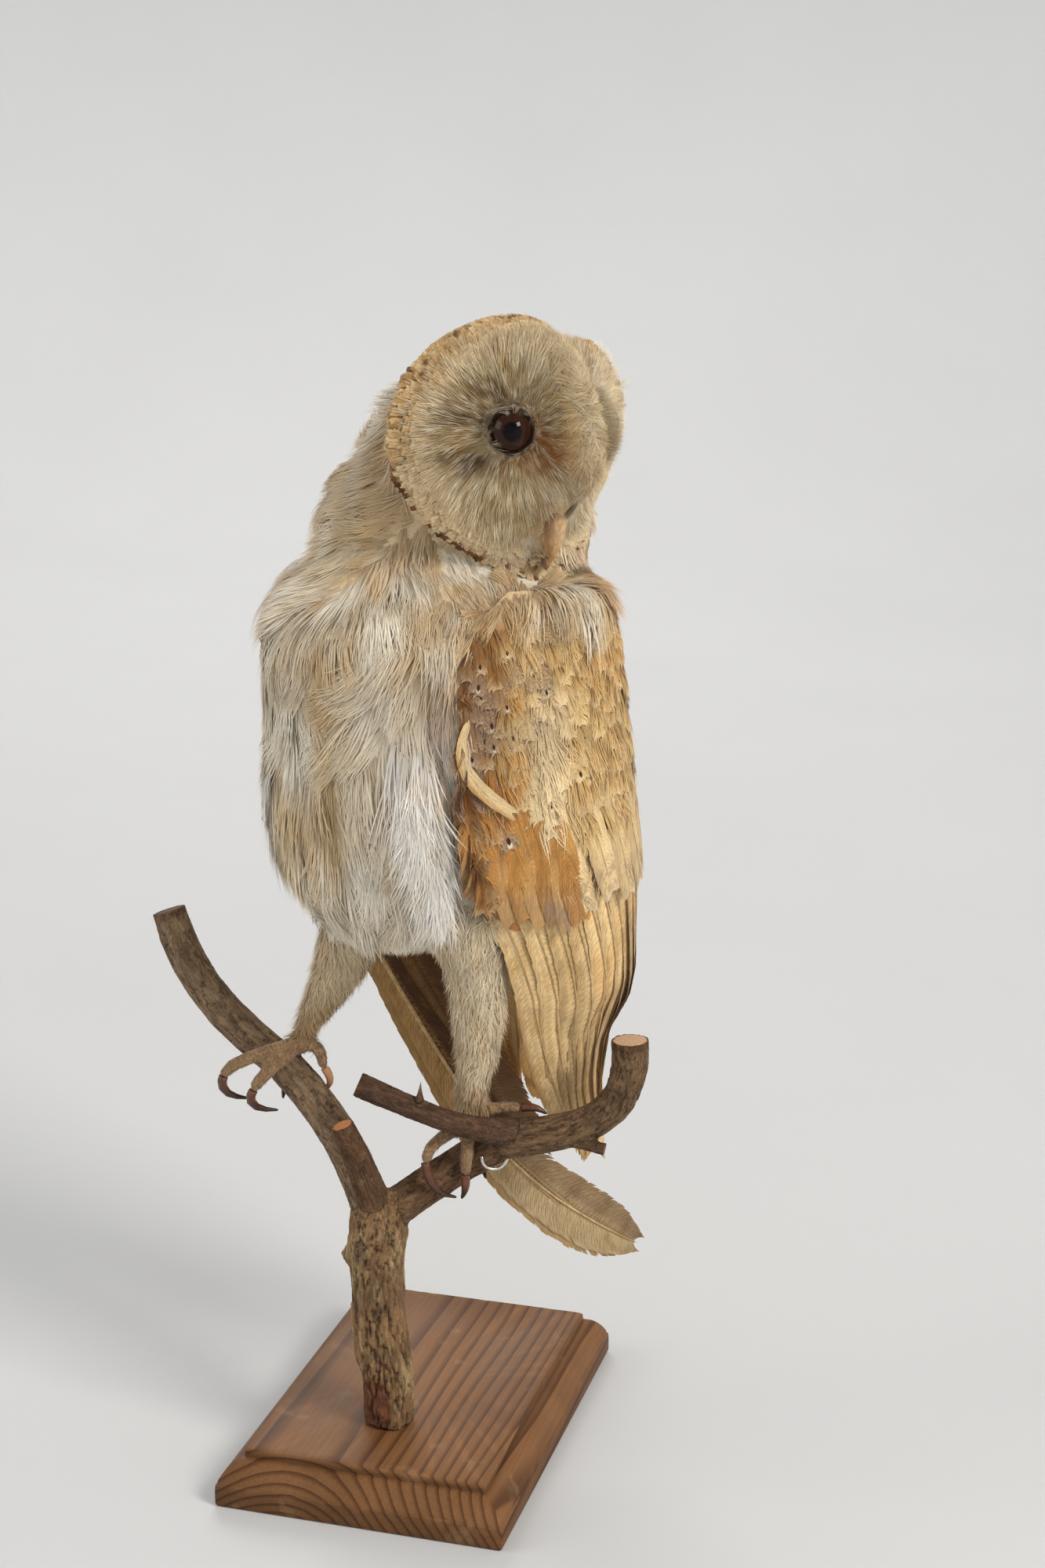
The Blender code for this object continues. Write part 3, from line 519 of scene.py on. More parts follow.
def skin_material(name):
    """Down and bare skin under the coat, with the coat's own tones."""
    s = Shader(name, 0.8, Sheen_Weight=0.2)
    bare = s.split(s.vector("bare"))[0]
    scales = s.rise(s.cells(s.place(), 900.0), 0.1, 0.6, 0.6, 1.15)
    wrinkles = s.rise(s.noise(s.place(), 420.0, 3.0), 0.3, 0.7, 0.7, 1.15)
    down = s.rise(s.noise(s.place(), 1500.0, 2.0), 0.3, 0.7, 0.8, 1.05)
    pattern = s.fed(s.add("Mix", data_type="FLOAT"), bare, None, down, s.product(scales, wrinkles))
    return s.finish(s.scaled(s.tone(), pattern), pattern, 0.6, 0.5)


# ---------------------------------------------------------------- wings: where things lie on them

# Height; leading edge, crown of the arch and trailing edge as x, y; thickness.
WING_ROWS = np.array(
    [
        (367.0, 46.0, -24.0, 76.0, -8.0, 80.0, 22.0, 9.0),
        (359.0, 39.0, -34.0, 83.5, -8.0, 78.0, 41.0, 18.0),
        (346.0, 33.5, -43.0, 88.0, -3.0, 75.0, 55.0, 26.0),
        (315.0, 31.0, -45.5, 92.5, 6.0, 71.0, 65.0, 30.0),
        (285.0, 31.0, -45.5, 96.0, 10.0, 70.0, 67.0, 30.0),
        (257.0, 34.5, -40.0, 97.5, 13.0, 70.0, 66.0, 26.0),
        (232.0, 43.0, -22.0, 97.5, 17.0, 72.0, 62.0, 13.0),
        (207.0, 47.0, -8.0, 97.0, 20.0, 73.0, 57.0, 8.5),
        (194.0, 49.0, 0.0, 94.5, 22.0, 73.0, 53.0, 7.0),
        (184.0, 51.0, 4.0, 88.0, 24.0, 73.0, 50.0, 6.0),
        (160.0, 58.5, 14.0, 84.0, 27.0, 74.0, 43.0, 4.6),
        (138.0, 67.0, 20.0, 84.5, 28.0, 77.0, 37.0, 3.4),
        (120.0, 77.0, 25.0, 85.0, 28.0, 82.0, 31.0, 2.0),
    ]
)
BODY_AXIS = np.array(  # height, x, y
    [
        (219.0, 6.0, 18.0),
        (246.0, 11.0, 18.0),
        (288.0, 14.0, 18.0),
        (338.0, 15.0, 19.0),
        (378.0, 28.5, 27.0),
    ]
)
# The right wing's tip swings under the body: how far, how narrow, and between which heights.
RIGHT_TIP_SWING, RIGHT_TIP_CHORD = math.radians(35.0), 0.72
SWING_FROM, SWING_TO = 262.0, 222.0


def body_axis(heights):
    rows = BODY_AXIS.T
    return np.stack([np.interp(heights, rows[0], rows[1]), np.interp(heights, rows[0], rows[2])], -1)


def wing_edges(heights):
    """Leading edge, crown and trailing edge of the left wing at some heights, each as (n, 2)."""
    rows = WING_ROWS[::-1].T
    values = [np.interp(heights, rows[0], rows[k]) for k in range(1, 7)]
    return [np.stack(values[k : k + 2], -1) for k in (0, 2, 4)]


def outside(points):
    """How far to the left of the body's axis points lie."""
    return (points[:, :2] - body_axis(points[:, 2])) @ BODY_LEFT[:2]


def to_left_side(points):
    """Points on the right wing's arm as their mirror images on the left wing."""
    flat = points[:, :2]
    away = (flat - body_axis(np.maximum(points[:, 2], SWING_FROM))) @ BODY_LEFT[:2]
    mirrored = points.copy()
    mirrored[:, :2] = flat - 2 * away[:, None] * BODY_LEFT[:2]
    return mirrored


def wing_share(points):
    """How far back from the leading edge points on the left wing lie, 0 to 1."""
    edge, _, trail = wing_edges(points[:, 2])
    chord = trail - edge
    return np.sum((points[:, :2] - edge) * chord, -1) / np.sum(chord * chord, -1)


def right_wing_edges(heights):
    """As wing_edges, for the right wing, whose tip is narrower and swung under the body."""
    middle = body_axis(np.maximum(heights, SWING_FROM))
    swung = np.clip((SWING_FROM - heights) / (SWING_FROM - SWING_TO), 0.0, 1.0)[:, None]
    rows = []
    for row in wing_edges(heights):
        rows.append(row - 2 * ((row - middle) @ BODY_LEFT[:2])[:, None] * BODY_LEFT[:2])
    chord = 1 - swung * (1 - RIGHT_TIP_CHORD)
    rows = [rows[0] + (row - rows[0]) * chord for row in rows]
    turn = -swung[:, 0] * RIGHT_TIP_SWING
    edges = []
    for row in rows:
        x, y = (row - middle).T
        spun = [x * np.cos(turn) - y * np.sin(turn), x * np.sin(turn) + y * np.cos(turn)]
        edges.append(middle + np.stack(spun, -1))
    return edges


def on_wing(back, heights, side):
    """Points and normals of a wing's outer face. back is 0 at the leading edge, 1 at the trailing."""
    edge, crown, trail = wing_edges(heights) if side > 0 else right_wing_edges(heights)
    pull = (4 * crown - edge - trail) / 2
    t = back[:, None]
    point = edge * (1 - t) ** 2 + pull * 2 * t * (1 - t) + trail * t**2
    slope = 2 * (1 - t) * (pull - edge) + 2 * t * (trail - pull)
    out = unit(np.stack([slope[:, 1], -slope[:, 0]], -1) * side)
    return np.column_stack([point, heights]), np.column_stack([out, np.zeros_like(heights)])


# ---------------------------------------------------------------- face

# The ruff's edge: degrees round the face from the top, then how far out and how far ahead it lies.
RUFF_EDGE = np.array(
    [
        (0.0, 46.0, 12.0),
        (34.0, 49.6, 6.0),
        (50.0, 52.5, 2.0),
        (66.0, 54.8, 0.0),
        (84.0, 55.6, 0.0),
        (96.0, 54.0, -1.0),
        (109.0, 49.4, 0.0),
        (125.0, 46.4, 3.0),
        (140.0, 45.0, 6.0),
        (158.0, 43.6, 10.0),
        (180.0, 47.0, 16.5),
    ]
)


def ruff_edge(turn):
    """How far out and ahead the ruff's edge lies, for an angle round the face in radians."""
    around = np.degrees(np.abs((turn + math.pi) % (2 * math.pi) - math.pi))
    edge_out = np.interp(around, RUFF_EDGE[:, 0], RUFF_EDGE[:, 1]) - ruff_dent(turn)
    return edge_out, np.interp(around, RUFF_EDGE[:, 0], RUFF_EDGE[:, 2])


def ruff_dent(turn):
    """How far the ruff has sunk at the top of the face's left half."""
    return 6.4 * np.exp(-(((np.degrees(turn) - 25.0) / 18.0) ** 2))


def face_coordinates(points):
    """Share of the way to the ruff's edge, angle round the face, and how far ahead of that edge."""
    ahead, out, above = head_coordinates(points)
    turn = np.arctan2(out, above)
    edge_out, edge_ahead = ruff_edge(turn)
    return np.hypot(out, above) / edge_out, turn, ahead - edge_ahead


def eye_centre(side):
    ahead, out, above = EYE_PLACE
    return in_head(ahead, side * out, above)


def gaze(side):
    return facing(37.0 + side * GAZE_OUT)[0]


# ---------------------------------------------------------------- skin

HEAD, NECK, TRUNK, LEFT_WING, RIGHT_WING, SHANK, TOE = range(7)
TOE_NAMES = ("outer", "middle", "inner", "hind")
TOES = [f"toe_{side}_{toe}" for side in ("left", "right") for toe in TOE_NAMES]
FLESH = {
    "head": HEAD,
    "neck": NECK,
    "trunk": TRUNK,
    "wing_left_arm": LEFT_WING,
    "wing_right_arm": RIGHT_WING,
    "shank_left": SHANK,
    "shank_right": SHANK,
    "foot_left": TOE,
    "foot_right": TOE,
    **{toe: TOE for toe in TOES},
}
COAT_DEPTH = np.array([2.4, 3.0, 3.2, 2.2, 2.2, 1.8, 0.1])  # in the order of the zones above
SKIN_VOXEL, SKIN_SWELL = 1.15, 0.45
SKIN_SHARE = 0.6  # of the faces that are kept once the skin is thinned
LEAST_GAP = 0.82  # between two roots, in units of their spacing


def tree_of(points):
    tree = KDTree(len(points))
    for k, point in enumerate(points):
        tree.insert(point, k)
    tree.balance()
    return tree


def on_either_wing(zones):
    return (zones == LEFT_WING) | (zones == RIGHT_WING)


class Surface:
    """The skin as something to root the coat on."""

    def __init__(self, points, faces, zones, unwrap):
        self.points, self.faces = points, faces
        self.normals = normals_at(points, faces)
        self.zones = zones[faces[:, 0]]
        self.unwrap = unwrap  # (faces, 3, 2)
        self.tree = BVHTree.FromPolygons(points.tolist(), faces.tolist())

    def nearest(self, points):
        """Places on the skin nearest to some points, with their normals and faces."""
        found = [self.tree.find_nearest(p)[::2] for p in points.tolist()]
        places = np.array([place for place, _ in found])
        faces = np.array([face for _, face in found])
        normals = unit(self.normals[self.faces[faces]].mean(1))
        return places, normals, faces

    def map_places(self, places, faces):
        """The unwrap's coordinates of places on faces."""
        a, b, c = np.moveaxis(self.points[self.faces[faces]], 1, 0)
        area = np.linalg.norm(np.cross(b - a, c - a), axis=1) + 1e-9
        near_a = np.linalg.norm(np.cross(b - places, c - places), axis=1) / area
        near_b = np.linalg.norm(np.cross(c - places, a - places), axis=1) / area
        near_c = 1 - near_a - near_b
        shares = np.stack([near_a, near_b, near_c], 1)
        return np.einsum("ij,ijk->ik", shares, self.unwrap[faces])

    def scatter(self, spacing, seed, keep, crowd=3.0):
        """Roots about spacing apart where keep says so: places, normals and faces."""
        chance = np.random.default_rng(seed)
        corners = self.points[self.faces]
        first, second = corners[:, 1] - corners[:, 0], corners[:, 2] - corners[:, 0]
        areas = np.linalg.norm(np.cross(first, second), axis=1) / 2
        areas = areas * keep(corners.mean(1), self.zones)
        count = int(areas.sum() / spacing**2 * crowd)
        faces = chance.choice(len(areas), count, p=areas / areas.sum())
        shares = chance.dirichlet((1, 1, 1), count)
        places = np.einsum("ij,ijk->ik", shares, corners[faces])
        kept = apart(places, spacing)
        places, faces = places[kept], faces[kept]
        return places, unit(self.normals[self.faces[faces]].mean(1)), faces


def apart(places, spacing):
    """Which places to keep so that none lies nearer to one kept before it than LEAST_GAP."""
    nearest = (LEAST_GAP * spacing) ** 2
    offsets = list(itertools.product((-1, 0, 1), repeat=3))
    taken, kept = {}, []
    cells = np.floor(places / spacing).astype(int).tolist()
    for index, ((x, y, z), (i, j, k)) in enumerate(zip(places.tolist(), cells)):
        around = (other for a, b, c in offsets for other in taken.get((i + a, j + b, k + c), ()))
        if all((x - u) ** 2 + (y - v) ** 2 + (z - w) ** 2 >= nearest for u, v, w in around):
            taken.setdefault((i, j, k), []).append((x, y, z))
            kept.append(index)
    return np.array(kept)


def thinned(points, faces, share):
    """The same shape with a share of its faces, most of them kept where it curves most."""
    whole = mesh_object("whole", points, faces, None)
    modifier = whole.modifiers.new("thin", "DECIMATE")
    modifier.ratio = share
    bpy.context.view_layer.update()
    thin = whole.evaluated_get(bpy.context.evaluated_depsgraph_get()).data
    found = to_specimen(points_of(thin)), triangles_of(thin)
    bpy.data.objects.remove(whole)
    return found


def rough_skin():
    """The flesh as one body of quads with the zone of each point, still at the CAD's surface."""
    fillers = [ball(eye_centre(side), EYE_RADIUS - 1.0) for side in (1, -1)]
    fillers += map(cad_shape, ("bill_upper", "bill_lower"))
    points, quads = fused(FLESH, SKIN_VOXEL, SKIN_SWELL, fillers)
    shapes = list(map(cad_shape, FLESH))
    cad_zones = np.repeat(list(FLESH.values()), [len(faces) for _, faces in shapes])
    cad_points, cad_faces = joined(shapes)
    whole = BVHTree.FromPolygons(cad_points.tolist(), cad_faces.tolist())
    zones = cad_zones[[whole.find_nearest(point)[2] for point in points.tolist()]]
    return points, quads, zones


def sink_skin(points, quads, zones):
    """The skin evened out and drawn in by the coat's depth, with soft changes between zones."""
    softness = np.where(zones == TOE, 0.3, 0.5)
    points = relax(points, quads, 8, softness)
    depth = COAT_DEPTH[zones] + 0.3
    starts, ends = quads.T.ravel(), np.roll(quads, -1, 1).T.ravel()
    neighbours = np.maximum(np.bincount(starts, minlength=len(points)), 1)
    for _ in range(6):
        depth = (depth + np.bincount(starts, depth[ends], len(points)) / neighbours) / 2
    points = points - normals_at(points, quads) * depth[:, None]
    return relax(points, quads, 3, softness)


def sink_ruff(points, zones):
    """The skin drawn in where the ruff has sunk, at the top of the face's left half."""
    _, out, above = head_coordinates(points)
    turn = np.arctan2(out, above)
    dent = ruff_dent(turn) * (zones == HEAD)
    edge = ruff_edge(turn)[0] + dent
    sunk = dent / edge * step(0.55, 0.95, np.hypot(out, above) / edge)
    return points - (np.outer(out * sunk, HEAD_LEFT) + np.outer(above * sunk, UP))


def tuck_right_wing(points, quads, zones):
    """The right wing's leading part moved in under the breast's coat."""
    share = wing_share(to_left_side(points))
    tucked = 6.0 * step(0.6, 0.25, share) * band(268.0, 344.0, 14.0, points[:, 2])
    tucked = tucked * (zones == RIGHT_WING)
    points[:, 0] += relax(np.stack([tucked] * 3, 1), quads, 6)[:, 0]
    return points


def hug_eye(points, side):
    """The skin laid close round one glass eye: behind it in front, over its edge as a lid."""
    centre, ahead = eye_centre(side), gaze(side)
    away = points - centre
    distance = np.linalg.norm(away, axis=1)
    polar = np.degrees(np.arccos(np.clip((away @ ahead) / distance, -1, 1)))
    inside, lid = EYE_RADIUS - 1.2, EYE_RADIUS + 0.7
    radius = inside + (lid - inside) * step(58.0, 66.0, polar)
    share = (step(12.5, 9.5, distance) * step(150.0, 110.0, polar))[:, None]
    hugging = centre + away / distance[:, None] * radius[:, None]
    return points * (1 - share) + hugging * share


def unwrap(skin):
    """Gives the skin its OFBake map. Returns the map's coordinates at each triangle's corners."""
    bpy.context.view_layer.objects.active = skin
    skin.select_set(True)
    bpy.ops.object.mode_set(mode="EDIT")
    bpy.ops.mesh.select_all(action="SELECT")
    bpy.ops.uv.smart_project(angle_limit=math.radians(66), island_margin=0.002)
    bpy.ops.object.mode_set(mode="OBJECT")
    skin.select_set(False)
    layer = skin.data.uv_layers[0]
    layer.name = "OFBake"
    corners = np.empty(len(triangles_of(skin.data)) * 3, np.int32)
    skin.data.loop_triangles.foreach_get("loops", corners)
    flat = np.empty(len(skin.data.loops) * 2, np.float32)
    skin.data.uv_layers["OFBake"].data.foreach_get("uv", flat)
    return flat.reshape(-1, 2)[corners.reshape(-1, 3)]


def make_skin():
    """One skin over all the flesh, inside the CAD nodes by the coat's depth."""
    points, quads, zones = rough_skin()
    points = sink_ruff(sink_skin(points, quads, zones), zones)
    points = tuck_right_wing(points, quads, zones)
    for side in (1, -1):
        points = hug_eye(points, side)
    tree = tree_of(points)
    points, triangles = thinned(points, quads, SKIN_SHARE)
    zones = zones[[tree.find(point)[1] for point in points]]
    bare = np.stack([zones == TOE] * 3, 1).astype(float)
    attributes = {"tone": coat_tone(points, zones), "bare": bare}
    skin = mesh_object("owl_skin", points, triangles, skin_material("owl skin"), attributes)
    places = unwrap(skin)
    place(skin, "cream_feathers", *FLESH)
    return Surface(points, triangles_of(skin.data), zones, places)


# ---------------------------------------------------------------- markings


def wing_tone(points):
    """Tone and marks of a wing's arm. points are on the left wing or mirrored onto it."""
    back, height = wing_share(points), points[:, 2]
    lumps = cloud(points, 13.0, 5)
    tone = layered(
        GOLD,
        (PALE_GOLD, step(0.35, 0.7, lumps)),
        (PALE_GOLD, 0.8 * step(0.14, 0.24, back) * step(340, 310, height)),
        ((250, 230, 188), 0.9 * band(0.19, 0.31, 0.04, back) * band(262, 326, 12, height)),
        # the leading edge's deep orange-brown: its own orange, darkened further as painted shade
        ((134, 80, 28), 0.92 * step(0.16, 0.06, back) * band(284, 362, 10, height)),
        ((182, 118, 50), 0.7 * step(0.2, 0.12, back) * step(304, 290, height)),
        (CREAM, 0.85 * step(350, 362, height)),
    )
    patches = np.maximum.reduce(
        [
            band(0.04, 0.14, 0.03, back) * band(320, 350, 7, height),
            band(0.01, 0.11, 0.03, back) * band(300, 318, 5, height),
            0.9 * band(0.15, 0.25, 0.03, back) * band(340, 362, 6, height),
            0.8 * band(0.16, 0.24, 0.03, back) * band(316, 336, 5, height),
            0.9 * band(0.07, 0.19, 0.03, back) * band(274, 296, 5, height),
            0.7 * band(0.3, 0.5, 0.06, back) * band(268, 284, 5, height),
        ]
    )
    wild = step(0.52, 0.66, cloud(points, 9.0, 9)) * step(0.55, 0.75, back) * 0.8
    grey = np.maximum(patches * step(0.28, 0.5, cloud(points, 7.0, 11)), wild)
    return tone, np.clip(grey, 0, 1)


def smudge(flat, place, size, most, strength):
    """How strongly a streaky dark smudge shows beside the eyes, with a cap."""
    return np.minimum(most, strength * blob(flat, EYE_PLACE[1:] + place, size))


def head_tone(points):
    """Crown and disc, with the dark smudges that lie round both eyes in the photo."""
    share, _, ahead = face_coordinates(points)
    _, out, above = head_coordinates(points)
    flat = np.stack([np.abs(out), above], 1)
    front = step(-5.0, 1.0, ahead + 4.0 * (share < 0.9))
    lumps = cloud(points, 6.0, 21)
    crown = layered(
        TAN,
        ((216, 176, 116), lumps),
        (CREAM, step(20.0, -30.0, above)),
    )
    eye = EYE_PLACE[1:]
    from_eye = flat - eye
    reach = np.linalg.norm(from_eye, axis=1)
    bearing = np.arctan2(from_eye[:, 1], from_eye[:, 0])
    rays = np.stack([9.0 * np.cos(bearing), 9.0 * np.sin(bearing), 0.12 * reach], 1)
    streak = step(0.3, 0.7, cloud(rays, 0.9, 27))
    disc = layered(
        (210, 184, 136),
        ((162, 128, 78), 0.7 * streak),
        ((240, 226, 190), 0.6 * step(13.0, 22.0, reach) * step(0.35, 0.7, lumps)),
        ((232, 216, 182), 0.5 * step(8.0, 2.0, np.abs(out)) * (above > -14)),
    )
    wisp = (0.55 + 0.6 * streak) * np.where(out > 0, 0.55, 1.0)
    disc = layered(
        disc,
        ((86, 56, 22), smudge(flat, (15.0, 4.0), (9.5, 3.8), 0.92, 1.15 * wisp)),
        ((88, 58, 28), smudge(flat, (12.5, -12.0), (12.0, 4.8), 0.92, 1.1 * wisp)),
        ((98, 68, 30), smudge(flat, (3.0, 12.0), (10.5, 6.0), 0.88, 1.05 * wisp)),
        ((150, 86, 18), smudge(flat, (-7.0, -8.0), (4.2, 8.0), 0.95, 1.5 * wisp)),
        ((180, 130, 68), 0.7 * blob(flat, eye + (-3.0, -12.0), (6.0, 3.5))),
        ((120, 72, 30), 0.6 * blob(flat, eye + (-7.6, 3.0), (1.8, 3.4))),
        ((240, 230, 208), 0.9 * step(23.0, 29.0, out)),
        (TAN, 0.9 * blob(flat, (30.0, 28.0), (8.0, 8.0)) * (out > 6)),
        ((196, 162, 120), 0.5 * blob(flat, (0.0, -20.0), (9.0, 12.0))),
    )
    nearest = np.minimum(*[np.linalg.norm(points - eye_centre(side), axis=1) for side in (1, -1)])
    medial = step(20.0, 14.0, out) * (out > 0)
    disc = layered(
        disc,
        ((40, 24, 16), (0.95 - 0.75 * medial) * step(10.2, 8.7, nearest)),
        (CREAM, 0.8 * step(0.7, 0.8, share)),
    )
    return crown * (1 - front[:, None]) + disc * front[:, None]


def body_tone(points):
    """Cream underparts: whiter down the middle and at the flank, shadowed grey beside the wing."""
    height = points[:, 2]
    lumps = cloud(points, (15.0, 15.0, 34.0), 31)
    fine = cloud(points, (5.0, 5.0, 16.0), 33)
    middle_strip = blob(points, (10.0, -38.0, 300.0), (10.0, 30.0, 60.0))
    flank = blob(points, (28.0, -34.0, 262.0), (11.0, 26.0, 34.0))
    hollow = blob(points, (24.0, -40.0, 318.0), (9.0, 20.0, 22.0))
    front = (points - np.array([14.0, 18.0, 0.0])) @ BODY_FORWARD
    return layered(
        CREAM,
        (WHITE, step(0.38, 0.66, lumps)),
        ((206, 174, 124), 0.65 * step(0.5, 0.72, fine) * step(0.62, 0.4, lumps)),
        (WHITE, 0.5 * middle_strip),
        ((246, 242, 234), 0.95 * flank),
        (LILAC, 0.75 * hollow),
        (WHITE, 0.6 * step(262, 236, height)),
        (GOLD, 0.8 * step(-18.0, -34.0, front) * step(238, 262, height)),
    )


def leg_tone(points):
    """Pale, fur-like shanks that grow buff towards the toes."""
    lumps = cloud(points, (6.0, 6.0, 14.0), 41)
    right = step(4.0, -8.0, points[:, 0])
    left_foot, right_foot = step(172, 152, points[:, 2]), step(200, 178, points[:, 2])
    low = np.where(points[:, 0] > 8, left_foot, right_foot)
    return layered(
        (212, 186, 144),
        ((242, 228, 200), lumps),
        ((206, 172, 122), 0.2 * right),
        ((168, 130, 84), 0.75 * low),
    )


def toe_tone(points):
    return blend((122, 92, 64), (160, 128, 92), cloud(points, 3.0, 43))


def coat_tone(points, zones):
    """The one set of markings that skin and coat share."""
    tone = np.zeros_like(points)
    for zone, paint in (
        (HEAD, head_tone),
        (NECK, body_tone),
        (TRUNK, body_tone),
        (LEFT_WING, lambda p: wing_tone(p)[0]),
        (RIGHT_WING, lambda p: wing_tone(to_left_side(p))[0]),
        (SHANK, leg_tone),
        (TOE, toe_tone),
    ):
        here = zones == zone
        if here.any():
            tone[here] = paint(points[here])
    return tone


# ---------------------------------------------------------------- feathers and hair


class Pattern:
    """One feather or tuft, flat: u runs along it, v across in half widths, w is a height in mm.

    along and across are the same within each barb or strand.
    """

    def __init__(self, rows, faces, aspect):
        self.u, across, self.w, self.along, self.across = rows.T
        self.v = across / aspect
        self.faces = faces

    def widened(self, factors):
        made = copy.copy(self)
        made.v = self.v * factors
        return made


VANE_START, VANE_SPAN = 0.03, 0.93  # the part of the shaft that carries barbs
SHAFT_HEIGHT, SHAFT_SHARE = 0.12, 0.06  # millimetres over the vane; share of its half width


def ribbons(centre_lines, halves, narrowing):
    """Tapered ribbons along centre lines of u, y and w. halves are half widths in units of length.

    Returns rows of u, y, w and the place along and across the ribbon, and triangles.
    """
    rows, faces, start = [], [], 0
    for line, half in zip(centre_lines, halves):
        count = len(line)
        flat = line[:, :2]
        run = np.gradient(flat, axis=0)
        side = np.stack([-run[:, 1], run[:, 0]], 1)
        side /= np.maximum(np.linalg.norm(side, axis=1, keepdims=True), 1e-9)
        shares = np.linspace(0, 1, count)
        reach = half * (1 - shares**narrowing)
        for k in range(count - 1):
            for edge in (1, -1):
                spot = flat[k] + side[k] * reach[k] * edge
                rows.append((*spot, line[k, 2], shares[k], edge))
        rows.append((*flat[-1], line[-1, 2], 1.0, 0.0))
        for k in range(count - 2):
            a = start + 2 * k
            faces += [(a, a + 1, a + 3), (a, a + 3, a + 2)]
        a = start + 2 * (count - 2)
        faces.append((a, a + 1, a + 2))
        start += 2 * (count - 1) + 1
    return np.array(rows), np.array(faces)


def vane_outline(u, round_tip):
    """Half width of a feather where a barb starts, in units of its widest."""
    base = min(1.0, (u + 0.12) ** 0.45 * 1.15)
    return base * max(1 - max(u, 0.0) ** round_tip, 0.0) ** 0.6


def vane_pattern(seed, barbs, aspect, sweep, fray, loose, round_tip, cover, points=4):
    """A feather made of barbs set along a shaft.

    aspect is half width over length, sweep how far along the feather a barb reaches, fray how
    uneven the barbs are, loose how far they lift, and cover how much of their spacing they fill.
    """
    chance = np.random.default_rng(seed)
    lines, halves = [], []
    for side in (1, -1):
        for k in range(barbs):
            start = VANE_START + VANE_SPAN * (k + chance.uniform(-0.2, 0.2)) / barbs
            near_tip = step(0.72, 1.0, start)
            forward = sweep * (1 + 0.25 * near_tip) * (1 + chance.uniform(-1, 1) * fray)
            end = min(start + forward, 1.0 + chance.uniform(-1, 0.6) * fray * 0.4)
            outline = vane_outline(start, round_tip)
            width = aspect * outline * (1 + chance.uniform(-1, 1) * fray)
            shares = np.linspace(0, 1, points)
            u = start + (end - start) * shares**1.25
            y = side * width * np.sin(shares * math.pi / 2) ** 0.9
            rise = loose * chance.uniform(-0.3, 1.0)
            lines.append(np.stack([u, y, rise * shares**1.5], 1))
            halves.append(0.5 * VANE_SPAN / barbs * cover)
    barb_rows, barb_faces = ribbons(lines, halves, 2.5)
    shaft = np.stack([np.linspace(0.0, 0.97, 5), np.zeros(5), np.full(5, SHAFT_HEIGHT)], 1)
    shaft_rows, shaft_faces = ribbons([shaft], [aspect * SHAFT_SHARE], 3.0)
    rows, faces = joined([(barb_rows, barb_faces), (shaft_rows, shaft_faces)])
    return Pattern(rows, faces, aspect)


def tuft_pattern(seed, strands, aspect, thick, points=4, spread=1.0, loose=1.0, curl=0.15):
    """A few loose strands from nearly one root."""
    chance = np.random.default_rng(seed)
    lines, halves = [], []
    for _ in range(strands):
        base = chance.uniform(-0.5, 0.5)
        lean = (base * 1.4 + chance.uniform(-0.5, 0.5)) * spread
        reach = chance.uniform(0.66, 1.0)
        start = chance.uniform(-0.08, 0.1)
        shares = np.linspace(0, 1, points)
        u = start + (reach - start) * shares
        y = aspect * (base * 0.6 + lean * shares**1.2 + curl * chance.uniform(-1, 1) * np.sin(shares * 3.0))
        w = loose * chance.uniform(-0.2, 1.0) * shares
        lines.append(np.stack([u, y, w], 1))
        halves.append(thick * chance.uniform(0.7, 1.2))
    rows, faces = ribbons(lines, halves, 2.0)
    return Pattern(rows, faces, aspect)


def several(make, first_seed, count, *sizes, **settings):
    """Patterns that differ by their seed alone."""
    return [make(first_seed + k, *sizes, **settings) for k in range(count)]


def silk_patterns(first_seed, count):
    return several(tuft_pattern, first_seed, count, 13, 0.17, 0.0125, points=5, curl=0.35)


def comb(surface, roots, normals, heading, lengths, steps=4, cling=1.0, swirl=0.0, droop=0.0):
    """Walks from each root over the skin. Returns paths and normals, (n, steps + 1, 3)."""
    cling = np.broadcast_to(cling, len(roots))[:, None]
    stride = (lengths / steps)[:, None]
    place, normal = roots, normals
    heading = unit(heading - normal * np.sum(heading * normal, 1, keepdims=True))
    paths, ups = [place], [normal]
    for _ in range(steps):
        side = np.cross(normal, heading)
        heading = unit(heading + side * np.broadcast_to(swirl, len(roots))[:, None] - UP * droop)
        ahead = place + heading * stride
        found, found_normal, _ = surface.nearest(ahead)
        found_normal = unit(normal * 0.35 + found_normal)
        target = ahead * (1 - cling) + found * cling
        heading = unit(target - place)
        place = place + heading * stride
        normal = unit(normal * (1 - cling) + found_normal * cling)
        normal = unit(normal - heading * np.sum(heading * normal, 1, keepdims=True))
        paths.append(place)
        ups.append(normal)
    return np.stack(paths, 1), np.stack(ups, 1)


